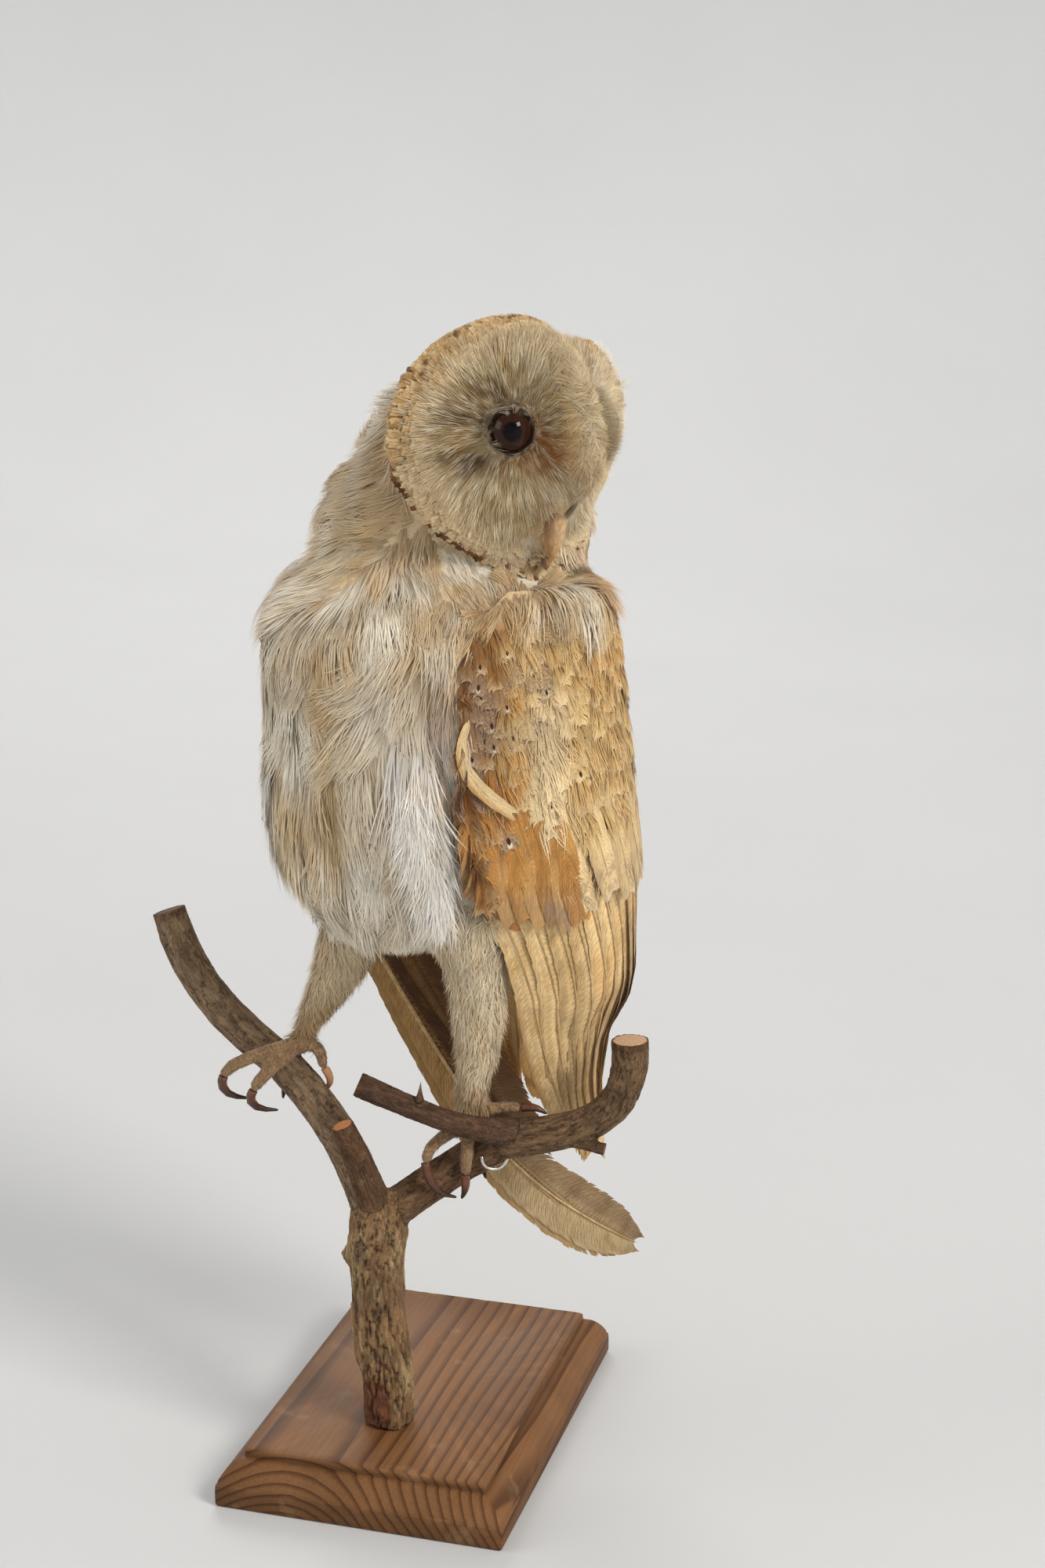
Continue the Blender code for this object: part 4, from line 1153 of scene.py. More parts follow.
def flesh_out(pattern, paths, ups, widths, lift, camber):
    """Points (n, m, 3) of one pattern laid along n paths. lift is the tip's height off the path."""
    steps = paths.shape[1] - 1
    at = np.clip(pattern.u, 0.0, 1.0) * steps
    k = np.minimum(at.astype(int), steps - 1)
    share = (at - k)[None, :, None]
    line = paths[:, k] * (1 - share) + paths[:, k + 1] * share
    beyond = (pattern.u - np.clip(pattern.u, 0.0, 1.0)) * steps
    line = line + (paths[:, k + 1] - paths[:, k]) * beyond[None, :, None]
    tangents = np.gradient(paths, axis=1)
    tangent = unit(tangents[:, k] * (1 - share) + tangents[:, k + 1] * share)
    up = unit(ups[:, k] * (1 - share) + ups[:, k + 1] * share)
    across = np.cross(tangent, up)
    up = np.cross(across, tangent)
    v = pattern.v[None, :]
    rise = pattern.w[None, :] + lift[:, None] * np.clip(pattern.u, 0, 1.2)[None, :] ** 1.1
    rise = rise - camber * widths[:, None] * v * v
    return line + across * (v * widths[:, None])[..., None] + up * rise[..., None]


class Batch:
    """Feathers or tufts on their way to being one piece."""

    def __init__(self):
        self.columns, self.count = {}, 0

    def add(self, pattern, points, tone, seeds, marks, places):
        """Copies of one pattern. All but seeds, one for each copy, are (n, m, ...) arrays."""
        n, m, _ = points.shape
        rows = (pattern.u, pattern.v, pattern.along, pattern.across, seeds[:, None])
        u, v, along, across, seed = (np.broadcast_to(row, (n, m)) for row in rows)
        steps = np.arange(n)[:, None, None] * m
        made = {
            "points": points,
            "tone": tone,
            "vane": np.stack([u, v, seed], 2),
            "barb": np.stack([along, across, seed], 2),
            "marks": marks,
            "map": places,
            "faces": pattern.faces[None] + steps + self.count,
        }
        for key, values in made.items():
            self.columns.setdefault(key, []).append(values.reshape(-1, values.shape[-1]))
        self.count += n * m

    def make(self, name, material, slot, *replaced):
        """The piece, or several where it would have too many triangles."""
        whole = {key: np.concatenate(values) for key, values in self.columns.items()}
        pieces = math.ceil(len(whole["faces"]) / MOST_TRIANGLES)
        for k, faces in enumerate(np.array_split(whole["faces"], pieces)):
            used, local = np.unique(faces, return_inverse=True)
            here = {key: values[used] for key, values in whole.items() if key != "faces"}
            maps = {"OFBake": here.pop("map")}
            label = f"{name}_{k + 1}" if pieces > 1 else name
            local = local.reshape(-1, 3)
            piece = mesh_object(label, here.pop("points"), local, material, here, maps)
            place(piece, slot, *replaced)


def grow(name, material, slot, roots, patterns, widths, lift, tone, camber=0.1, marks=None):
    """Lays patterns along paths over the skin and makes pieces of them.

    roots is the paths, their normals and their places on the skin's map.
    tone(points, u, v, which) gives the colours.
    """
    paths, ups, patch = roots
    chance = np.random.default_rng(len(paths))
    seeds = chance.random(len(paths))
    kinds = chance.integers(0, len(patterns), len(paths))
    marks = np.zeros((len(paths), 3)) if marks is None else marks
    batch = Batch()
    for kind, pattern in enumerate(patterns):
        which = np.flatnonzero(kinds == kind)
        if not len(which):
            continue
        points = flesh_out(pattern, paths[which], ups[which], widths[which], lift[which], camber)
        n, m, _ = points.shape
        u, v = np.tile(pattern.u, n), np.tile(pattern.v, n)
        owner = np.repeat(which, m)
        offset = np.stack([np.clip(u, 0, 1) * 2 - 1, np.clip(v, -1, 1)], 1) * PATCH
        places = patch[owner] + offset
        batch.add(
            pattern, points, tone(points.reshape(-1, 3), u, v, owner), seeds[which], marks[owner], places
        )
    batch.make(name, material, slot)


def turned(vectors, normals, angles):
    """Vectors turned about normals."""
    angles = np.asarray(angles)[:, None]
    return vectors * np.cos(angles) + np.cross(normals, vectors) * np.sin(angles)


def clumped(places, spacing, seed):
    """Groups places into clumps: the index of each one's clump and its middle."""
    middles = []
    for index in np.random.default_rng(seed).permutation(len(places)):
        place = places[index]
        if all(np.sum((place - middle) ** 2) > spacing**2 for middle in middles):
            middles.append(place)
    tree = tree_of(middles)
    owners = np.array([tree.find(place)[1] for place in places.tolist()])
    return owners, np.array(middles)


def zone_tone(zone):
    """The markings of one zone, in the form that grow asks for."""
    return lambda points, u, v, which: coat_tone(points, np.full(len(points), zone))


# ---------------------------------------------------------------- the coat, part by part


LONGEST_LOCK = 42.0


def clear_of_wings(points):
    """Where the trunk isn't behind a wing's leading edge."""
    free = np.ones(len(points), bool)
    arm = (points[:, 2] > 225.0) & (points[:, 2] < 343.0)
    for side in (points, to_left_side(points)):
        share = wing_share(side)
        free &= ~((share > 0.04) & (share < 0.93) & (outside(side) > 10.0) & arm)
    return free


def body_roots(points, zones):
    """Where the silky coat grows: trunk, neck, the wings' tops and the right wing's edge."""
    x, y, height = points.T
    edge = (zones == RIGHT_WING) & (wing_share(to_left_side(points)) < 0.3) & (height > 240.0)
    beside_plume = (x > 28.0) & (y < -20.0) & (height < 290.0) & (height > 228.0)
    trunk = (zones == TRUNK) & clear_of_wings(points) & ~beside_plume
    return trunk | (zones == NECK) | (on_either_wing(zones) & (height > 358.0)) | edge


def grow_body(surface, silk):
    """Silky locks on breast, belly, flanks and neck, in clumps that hang and curve together."""
    chance = np.random.default_rng(2)
    roots, normals, faces = surface.scatter(3.1, 11, body_roots)
    count, height, out = len(roots), roots[:, 2], outside(roots)
    neck = surface.zones[faces] == NECK
    back = wing_share(roots)
    clumps, middles = clumped(roots, 13.5, 5)
    tilt = (cloud(middles, 36.0, 3) - 0.5) * 2.0 + chance.uniform(-0.35, 0.35, len(middles))
    down = np.tile(-UP, (count, 1))
    down[neck] = unit(down[neck] - HEAD_FORWARD * 0.8)
    side = np.cross(normals, down)
    away = roots - middles[clumps]
    aside, below = np.sum(away * side, 1), np.sum(away * down, 1)
    heading = turned(down, normals, tilt[clumps] * 0.6 + chance.normal(0, 0.07, count))
    heading = heading - side * (aside * 0.05)[:, None]

    lengths = 22.0 + 5.0 * chance.random(count) + 7.0 * step(320, 270, height)
    lengths = np.where(neck, 17.0 + 4.0 * chance.random(count), lengths)
    beside_wing = step(4.0, 12.0, out) * step(340, 350, height) * (back > 0.02)
    short = 13.0 + 5.0 * step(0.15, 0.4, back)
    lengths = lengths * (1 - beside_wing) + short * beside_wing
    lengths = lengths * chance.uniform(0.8, 1.15, len(middles))[clumps] - 0.8 * below
    hanging = step(270, 254, height)
    fringe = height - 238.0 + 7.0 * chance.random(count)
    fringe = fringe + chance.uniform(-4.0, 22.0, len(middles))[clumps]
    lengths = lengths * (1 - hanging) + np.clip(fringe, 8.0, LONGEST_LOCK) * hanging
    lengths = np.clip(lengths, np.where(height > 290.0, 12.0, 6.0), LONGEST_LOCK)

    swirl = (cloud(middles, 22.0, 8) - 0.5) * 0.6 + chance.uniform(-0.16, 0.16, len(middles))
    cling = 0.08 + 0.92 * step(238, 268, height)
    over = band(350.0, 384.0, 4.0, height) * step(3.0, 9.0, np.abs(out)) * step(0.8, 0.55, back)
    over = over * step(84.0, 70.0, roots[:, 0])  # locks that fall over a wing's shoulder
    cling = cling * (1 - 0.8 * over)
    heading = heading + np.outer(0.3 * over * np.sign(out), BODY_LEFT)
    lengths = lengths + 7.0 * over * chance.random(count)
    paths, ups = comb(surface, roots, normals, heading, lengths, 5, cling, swirl[clumps], 0.1)

    puff = chance.uniform(0.0, 1.0, len(middles))[clumps]
    ridge = np.clip(1 - (aside / 7.5) ** 2, 0, 1)
    lift = 0.5 + 3.0 * puff * ridge + 1.7 * ridge + 0.8 * chance.random(count)
    nape = step(376.0, 392.0, height) * step(30.0, 10.0, roots[:, 0])
    far_side = band(358.0, 380.0, 5.0, height) * step(58.0, 68.0, roots[:, 0])
    lift = lift * np.where(neck, 0.7, 1.0) + 4.0 * nape + 1.0 * far_side
    lift = lift * (0.5 + 0.5 * step(232, 250, height))
    pale = chance.uniform(-1, 1, len(middles))[clumps]
    photo_side = 1 - step(50.0, 64.0, roots[:, 0])

    def paint(points, u, v, which):
        near, own = photo_side[which], pale[which]
        shoulder = over[which] * step(0.2, 0.7, u) * step(0.02, 0.2, back[which]) * near
        bright = 0.5 * np.clip(own, 0, 1) + 0.25 * step(0.6, 1.0, u)
        return layered(
            coat_tone(points, np.full(len(points), TRUNK)),
            ((204, 172, 126), 0.25 * neck[which] * near),
            ((222, 182, 120), 0.6 * shoulder),
            (WHITE, bright * (1 - 0.6 * neck[which] * near)),
            ((202, 168, 118), 0.4 * np.clip(-own, 0, 1)),
            # painted shade: darker towards each lock's root and along the edges of its clump
            ((190, 158, 114), 0.36 * step(0.45, 0.0, u) + 0.18 * (1 - ridge[which])),
        )

    laid = (paths, ups, surface.map_places(roots, faces))
    widths = np.maximum(lengths, 14.0) * 0.17
    grow("coat_body", silk, "cream_feathers", laid, silk_patterns(0, 8), widths, lift, paint)


def grow_plume(surface, silk):
    """The white plume that falls from under each wing over its leading edge and the thigh."""
    chance = np.random.default_rng(3)
    near_count, far_count = 300, 90
    line = catmull([(14.0, -45.0, 308.0), (18.5, -46.0, 286.0), (25.0, -42.0, 258.0)], 60)
    spots = line[chance.integers(0, len(line), near_count)]
    spots = spots + chance.normal(0, 1, (near_count, 3)) * (3.4, 3.0, 2.0)
    spots = np.vstack([spots, to_left_side(spots[:far_count])])
    roots, normals, faces = surface.nearest(spots)
    near = np.arange(len(roots)) < near_count
    clear = ~on_either_wing(surface.zones[faces])
    roots, normals, faces, near = roots[clear], normals[clear], faces[clear], near[clear]
    heading = -UP + chance.normal(0, 0.08, (len(roots), 3))
    heading[:, 0] += np.where(near, 0.04, -0.14)
    heading -= normals * 0.2
    lengths = chance.uniform(22.0, 36.0, len(roots))
    swirl = chance.normal(0, 0.05, len(roots))
    paths, ups = comb(surface, roots, normals, heading, lengths, 5, 0.3, swirl, 0.1)
    start = 3.0 * chance.random(len(roots)) * near
    forward = np.linspace(0, 1, 6)[None, :, None] * (0.0, -3.0, 0.0)
    paths = paths + (normals * start[:, None])[:, None] + forward
    lift = 2.0 + 4.0 * chance.random(len(roots))

    def paint(points, u, v, which):
        return layered(
            (244, 240, 232),
            (CREAM, 0.5 * step(0.5, 0.8, cloud(points, 8.0, 35))),
            # painted shade: darker towards each tuft's root, under the others
            ((196, 170, 132), 0.4 * step(0.3, 0.0, u)),
        )

    laid = (paths, ups, surface.map_places(roots, faces))
    grow("coat_plume", silk, "cream_feathers", laid, silk_patterns(10, 5), lengths * 0.15, lift, paint)


def covert_roots(points, zones):
    return on_either_wing(zones) & (points[:, 2] > 268.0) & (points[:, 2] < 368.0)


def grow_wing_coverts(surface, small, silk):
    """Overlapping coverts on both wing arms, with silky tufts over about half of them."""
    chance = np.random.default_rng(4)
    roots, normals, faces = surface.scatter(4.3, 13, covert_roots)
    right = surface.zones[faces] == RIGHT_WING
    as_left = np.where(right[:, None], to_left_side(roots), roots)
    shown = (outside(as_left) > 20.0) & (~right | (wing_share(as_left) > 0.26))
    roots, normals, faces = roots[shown], normals[shown], faces[shown]
    right, as_left = right[shown], as_left[shown]
    count, back, grey = len(roots), wing_share(as_left), wing_tone(as_left)[1]
    slant = 0.3 * step(0.0, 0.15, back) - 0.3 * step(0.3, 0.8, back)
    heading = unit(-UP - np.outer(slant, BODY_FORWARD))
    heading = turned(heading, normals, chance.normal(0, 0.16, count))
    lengths = 14.0 + 8.0 * step(340, 280, roots[:, 2]) + 5.0 * chance.random(count)
    paths, ups = comb(surface, roots, normals, heading, lengths, 3)
    lift = 0.9 + 1.5 * chance.random(count) * step(0.0, 0.12, back)
    own = chance.uniform(-1, 1, count)
    drop = (chance.random(count) < 0.06 + 0.3 * (grey > 0.4)).astype(float)
    marks = np.stack([drop, grey, chance.uniform(0.0, 0.8, count)], 1)

    def paint(points, u, v, which):
        flip = right[which]
        mirrored = points.copy()
        mirrored[flip] = to_left_side(points[flip])
        return layered(
            wing_tone(mirrored)[0],
            (PALE_GOLD, 0.2 * np.clip(own[which], 0, 1)),
            ((246, 222, 174), 0.5 * step(0.78, 1.0, u + 0.12 * np.abs(v))),
            ((176, 122, 62), 0.2 * np.clip(-own[which], 0, 1)),
            # painted shade: darker towards each covert's base, where the feather above covers it
            ((148, 102, 56), 0.35 * step(0.7, 0.3, u)),
        )

    patch = surface.map_places(roots, faces)
    patterns = several(
        vane_pattern, 20, 8, 24, 0.32, 0.42, fray=0.2, loose=0.45, points=3, round_tip=2.6, cover=1.5
    )
    laid, widths = (paths, ups, patch), lengths * 0.29
    grow("coat_wings", small, "buff_feathers", laid, patterns, widths, lift, paint, 0.3, marks)

    index = np.flatnonzero((chance.random(count) < 0.55) & (drop < 1) & (grey < 0.5))
    lift = 1.8 + 2.4 * chance.random(len(index))

    def soft_paint(points, u, v, which):
        return layered(
            paint(points, u, v, index[which]),
            ((244, 220, 170), 0.45 * step(0.5, 1.0, u) * step(0.1, 0.3, back[index[which]])),
            # painted shade: darker towards each tuft's root
            ((146, 98, 48), 0.4 * step(0.5, 0.1, u)),
        )

    longer = lengths[index] * 1.08
    swirl = chance.normal(0, 0.05, len(index))
    laid = comb(surface, roots[index], normals[index], heading[index], longer, 4, 0.95, swirl)
    patterns = several(tuft_pattern, 30, 6, 15, 0.24, 0.014, points=5, curl=0.25)
    laid, widths = (*laid, patch[index]), longer * 0.24
    grow("coat_coverts", silk, "buff_feathers", laid, patterns, widths, lift, soft_paint, 0.2)


def grow_legs(surface, fur):
    """Short, fur-like feathers on the shanks."""
    chance = np.random.default_rng(6)
    roots, normals, faces = surface.scatter(1.7, 17, lambda points, zones: zones == SHANK)
    heading = np.tile(-UP, (len(roots), 1)) + chance.normal(0, 0.2, (len(roots), 3))
    heading = heading + (cloud(roots, 7.0, 45)[:, None] - 0.5) * (0.8, 0.8, 0.0)
    lengths = 6.0 + 5.0 * step(165, 215, roots[:, 2]) + 2.5 * chance.random(len(roots))
    laid = (*comb(surface, roots, normals, heading, lengths, 3, 0.7), surface.map_places(roots, faces))
    lift = 1.0 + 2.2 * chance.random(len(roots))
    patterns = several(tuft_pattern, 40, 6, 9, 0.26, 0.018, loose=1.8, curl=0.3)
    grow("coat_legs", fur, "cream_feathers", laid, patterns, lengths * 0.3, lift, zone_tone(SHANK))
    grow_toe_bristles(surface, fur, chance)


def grow_toe_bristles(surface, fur, chance):
    """Bristles on the toes that point away from each foot's middle."""
    roots, normals, faces = surface.scatter(1.3, 19, lambda points, zones: zones == TOE)
    left_foot, right_foot = [[34.0, 7.0, 150.0]], [[-33.5, 22.0, 177.0]]
    out = roots - np.where(roots[:, :1] > 8, left_foot, right_foot)
    heading = unit(out) * 0.8 - UP * 0.5 + chance.normal(0, 0.2, (len(roots), 3))
    lengths = 1.8 + 1.4 * chance.random(len(roots))
    laid = (*comb(surface, roots, normals, heading, lengths, 2, 0.8), surface.map_places(roots, faces))
    lift = 0.2 + 0.5 * chance.random(len(roots))
    patterns = several(tuft_pattern, 50, 3, 2, 0.2, 0.05, points=3, spread=0.8, loose=0.5)
    tone = zone_tone(TOE)

    def paint(points, u, v, which):
        return blend(tone(points, u, v, which), (206, 178, 130), 0.55 * step(0.2, 0.8, u))

    grow("coat_toes", fur, "foot_skin", laid, patterns, lengths * 0.25, lift, paint)


# ---------------------------------------------------------------- head


DISC_DEPTH = 51.0  # how far ahead of the ruff's edge the disc's middle lies
GAP_FROM, GAP_TO = 13.0, 44.0  # degrees round the face, on its left half, where the ruff is missing
HAIR_CLEARANCE = 0.45  # between the glass eye and the first hair
BILL_PLACE = (-7.5, 3.6, -46.0, -12.5)  # out from, out to, above from, above to


def from_near_eye(points):
    """The way from the nearer eye's centre to each point."""
    _, out, _ = head_coordinates(points)
    return points - np.where(out[:, None] > 0, eye_centre(1), eye_centre(-1))


def ruff_gap(degrees):
    """One where the ruff is missing and down forms the face's outline."""
    return band(GAP_FROM, GAP_TO, 3.0, degrees)


def on_bill(points):
    _, out, above = head_coordinates(points)
    left, right, low, high = BILL_PLACE
    return (out > left) & (out < right) & (above > low) & (above < high)


def face_roots(points, zones):
    """Where the disc's hair grows."""
    share, turn, ahead = face_coordinates(points)
    clear = np.linalg.norm(from_near_eye(points), axis=1) > EYE_RADIUS + HAIR_CLEARANCE
    disc = (ahead > -1.0) & (share < 0.86 + 0.13 * ruff_gap(np.degrees(turn)))
    return (zones == HEAD) & disc & clear & ~on_bill(points)


def eye_ring_roots(points, zones):
    return face_roots(points, zones) & (np.linalg.norm(from_near_eye(points), axis=1) < 12.5)


def grow_face(surface, fur):
    """Fine hair-like feathers that radiate from each eye over the disc."""
    chance = np.random.default_rng(8)
    scattered = surface.scatter(1.15, 23, face_roots), surface.scatter(0.8, 24, eye_ring_roots)
    roots, normals, faces = (np.concatenate(both) for both in zip(*scattered))
    away = from_near_eye(roots)
    distance = np.linalg.norm(away, axis=1)
    _, out, above = head_coordinates(roots)
    ridge = step(9.0, 2.0, np.abs(out))
    heading = unit(away) * (1 - 0.5 * ridge)[:, None] + np.outer(0.6 * ridge * (above > 2), UP)
    heading = heading - np.outer(0.5 * ridge * (above < -6), UP)
    heading = heading + chance.normal(0, 0.13, (len(roots), 3))
    beak = step(13.0, 8.0, np.abs(out)) * band(-47.0, -10.0, 3.0, above)
    down = np.outer(np.sign(out) * 0.15, HEAD_LEFT) - UP
    heading = heading * (1 - beak)[:, None] + down * beak[:, None]
    share = face_coordinates(roots)[0]
    lengths = 5.0 + 5.5 * step(9.0, 20.0, distance) * step(0.82, 0.66, share)
    lengths = lengths + 2.5 * chance.random(len(roots))
    laid = comb(surface, roots, normals, heading, lengths, 3, 0.9)
    lift = 0.6 + 1.1 * step(10.0, 16.0, distance) + 1.8 * chance.random(len(roots)) ** 2
    lift = lift * (1 - 0.7 * beak)
    own = chance.uniform(-1, 1, len(roots))

    def paint(points, u, v, which):
        return layered(
            coat_tone(points, np.full(len(points), HEAD)),
            ((246, 236, 208), 0.75 * np.clip(own[which], 0, 1) * step(0.0, 0.6, u)),
            ((120, 86, 44), 0.6 * np.clip(-own[which] - 0.2, 0, 1)),
        )

    laid = (*laid, surface.map_places(roots, faces))
    widths = lengths * (1 - 0.5 * beak) * 0.16
    patterns = several(tuft_pattern, 60, 6, 7, 0.17, 0.015, loose=1.3)
    grow("coat_face", fur, "cream_feathers", laid, patterns, widths, lift, paint)


def grow_brow(surface, fur):
    """Longer tufts that stand up along the ridge between the eyes and hide each from the other side."""
    chance = np.random.default_rng(9)
    count, ahead_of_face = 950, 70.0
    above = chance.uniform(-11.0, 40.0, count)
    out = chance.normal(0, 3.6, count)
    spots = in_head(ahead_of_face, out[:, None], above[:, None])
    hits = [surface.tree.ray_cast(spot, (-HEAD_FORWARD).tolist())[0] for spot in spots.tolist()]
    met = np.array([hit is not None for hit in hits])
    roots, normals, faces = surface.nearest(np.array([hit for hit in hits if hit is not None]))
    chosen = chance.random(len(roots)) < 0.9
    roots, normals, faces = roots[chosen], normals[chosen], faces[chosen]
    out, above = out[met][chosen], above[met][chosen]
    rise = step(0.0, 34.0, above)
    heading = np.outer(0.9 - 0.5 * rise, HEAD_FORWARD) + np.outer(1.5 * rise - 0.25, UP)
    heading = heading + np.outer(np.sign(out) * 0.55, HEAD_LEFT)
    heading = heading + chance.normal(0, 0.16, (len(roots), 3))
    lengths = 8.0 + 3.0 * chance.random(len(roots)) - 2.5 * step(22.0, 38.0, above)
    laid = comb(surface, roots, normals, heading, lengths, 4, 0.5, 0.0, 0.12)
    lift = 2.6 + 1.6 * chance.random(len(roots)) - 1.4 * step(20.0, 36.0, above)
    laid = (*laid, surface.map_places(roots, faces))
    patterns = several(tuft_pattern, 65, 5, 8, 0.2, 0.014, points=5, spread=1.1, loose=1.4)
    grow("coat_brow", fur, "cream_feathers", laid, patterns, lengths * 0.2, lift, zone_tone(HEAD))


def grow_veil(surface, fur):
    """White down that stands up beside the left eye, on the side towards the bill and the brow."""
    chance = np.random.default_rng(11)
    count = 850
    centre, ahead = eye_centre(1), gaze(1)
    inward = HEAD_FORWARD * 0.2 - HEAD_LEFT
    toward = unit(inward - ahead * (inward @ ahead))
    across = np.cross(ahead, toward)
    bearing = np.radians(chance.uniform(-80.0, 80.0, count))
    spoke = np.outer(np.cos(bearing), toward) + np.outer(np.sin(bearing), across)
    reach = EYE_RADIUS + 0.6 + 8.0 * chance.random(count) ** 1.3
    roots, _, faces = surface.nearest(centre + spoke * reach[:, None])
    heading = ahead + spoke * chance.uniform(-0.1, 0.55, count)[:, None]
    heading = heading + chance.normal(0, 0.2, (count, 3))
    lengths = (7.0 + 5.0 * chance.random(count)) * (0.35 + 0.65 * np.cos(bearing) ** 0.7)
    laid = comb(surface, roots, spoke, heading, lengths, 4, 0.0)
    lift = -1.2 * chance.random(count)
    own = chance.random(count)

    def paint(points, u, v, which):
        return layered(
            (234, 222, 194),
            ((184, 156, 112), 0.7 * own[which]),
            # painted shade: darker towards each tuft's root
            ((140, 110, 70), 0.6 * step(0.6, 0.0, u)),
        )

    laid = (*laid, surface.map_places(roots, faces))
    patterns = several(tuft_pattern, 75, 6, 9, 0.3, 0.012, points=5, spread=1.4, loose=1.8, curl=0.3)
    grow("coat_veil", fur, "cream_feathers", laid, patterns, lengths * 0.24, lift, paint)


def crown_roots(points, zones):
    share, _, ahead = face_coordinates(points)
    return (zones == HEAD) & ((ahead < -1.0) | (share > 1.02))


def grow_crown(surface, small):
    """Small feathers over the crown, the back of the head and the nape."""
    chance = np.random.default_rng(10)
    roots, normals, faces = surface.scatter(2.5, 29, crown_roots)
    ahead, out, above = head_coordinates(roots)
    heading = -HEAD_FORWARD[None] - UP[None] * step(30, -10, above)[:, None] * 0.9
    heading = turned(heading, normals, chance.normal(0, 0.15, len(roots)))
    lengths = 5.0 + 3.5 * step(0, -30, ahead) + 1.0 * chance.random(len(roots))
    laid = comb(surface, roots, normals, heading, lengths, 3, 0.95)
    lift = 0.5 + 0.7 * chance.random(len(roots))
    lift = lift + 2.0 * step(-12.0, -34.0, ahead) * step(44.0, 20.0, above)
    lift = lift + 3.0 * step(-8.0, -24.0, above) * step(10.0, 26.0, out)
    marks = np.zeros((len(roots), 3))
    marks[:, 0] = (chance.random(len(roots)) < 0.12) * (above > 0)
    laid = (*laid, surface.map_places(roots, faces))
    patterns = several(
        vane_pattern, 70, 4, 9, 0.36, 0.3, fray=0.1, loose=0.2, points=3, round_tip=3.5, cover=2.0
    )
    tone, widths = zone_tone(HEAD), lengths * 0.34
    grow("coat_crown", small, "cream_feathers", laid, patterns, widths, lift, tone, 0.2, marks)


def nape_roots(points, zones):
    ahead, _, above = head_coordinates(points)
    return (zones == HEAD) & (ahead < -12.0) & (above < 34.0)


def grow_nape(surface, silk):
    """Soft feathers that carry the back of the head down onto the neck."""
    chance = np.random.default_rng(15)
    roots, normals, faces = surface.scatter(2.9, 31, nape_roots)
    ahead, _, above = head_coordinates(roots)
    heading = -UP - HEAD_FORWARD * 0.25 + chance.normal(0, 0.1, (len(roots), 3))
    lengths = 13.0 + 6.0 * chance.random(len(roots))
    swirl = chance.normal(0, 0.05, len(roots))
    laid = comb(surface, roots, normals, heading, lengths, 5, 0.72, swirl)
    lift = 1.4 + 2.4 * chance.random(len(roots))
    lift = lift + 2.0 * step(-20.0, -34.0, ahead) * step(30.0, 10.0, above)
    own = chance.uniform(-1, 1, len(roots))

    def paint(points, u, v, which):
        return layered(
            coat_tone(points, np.full(len(points), HEAD)),
            ((206, 170, 118), 0.6 * step(0.2, 0.9, u)),
            (WHITE, 0.4 * np.clip(own[which], 0, 1)),
            # painted shade: darker towards each feather's root
            ((170, 128, 76), 0.4 * step(0.4, 0.0, u)),
        )

    laid = (*laid, surface.map_places(roots, faces))
    grow("coat_nape", silk, "cream_feathers", laid, silk_patterns(140, 5), lengths * 0.2, lift, paint)


def on_face(surface, turn, share, ahead):
    """Roots on the face at an angle round it and a share of the way to the ruff's edge."""
    edge_out, edge_ahead = ruff_edge(turn)
    radial = np.outer(np.sin(turn), HEAD_LEFT) + np.outer(np.cos(turn), UP)
    spots = HEAD_CENTRE + np.outer(edge_ahead + ahead, HEAD_FORWARD)
    return surface.nearest(spots + radial * (edge_out * share)[:, None]), radial


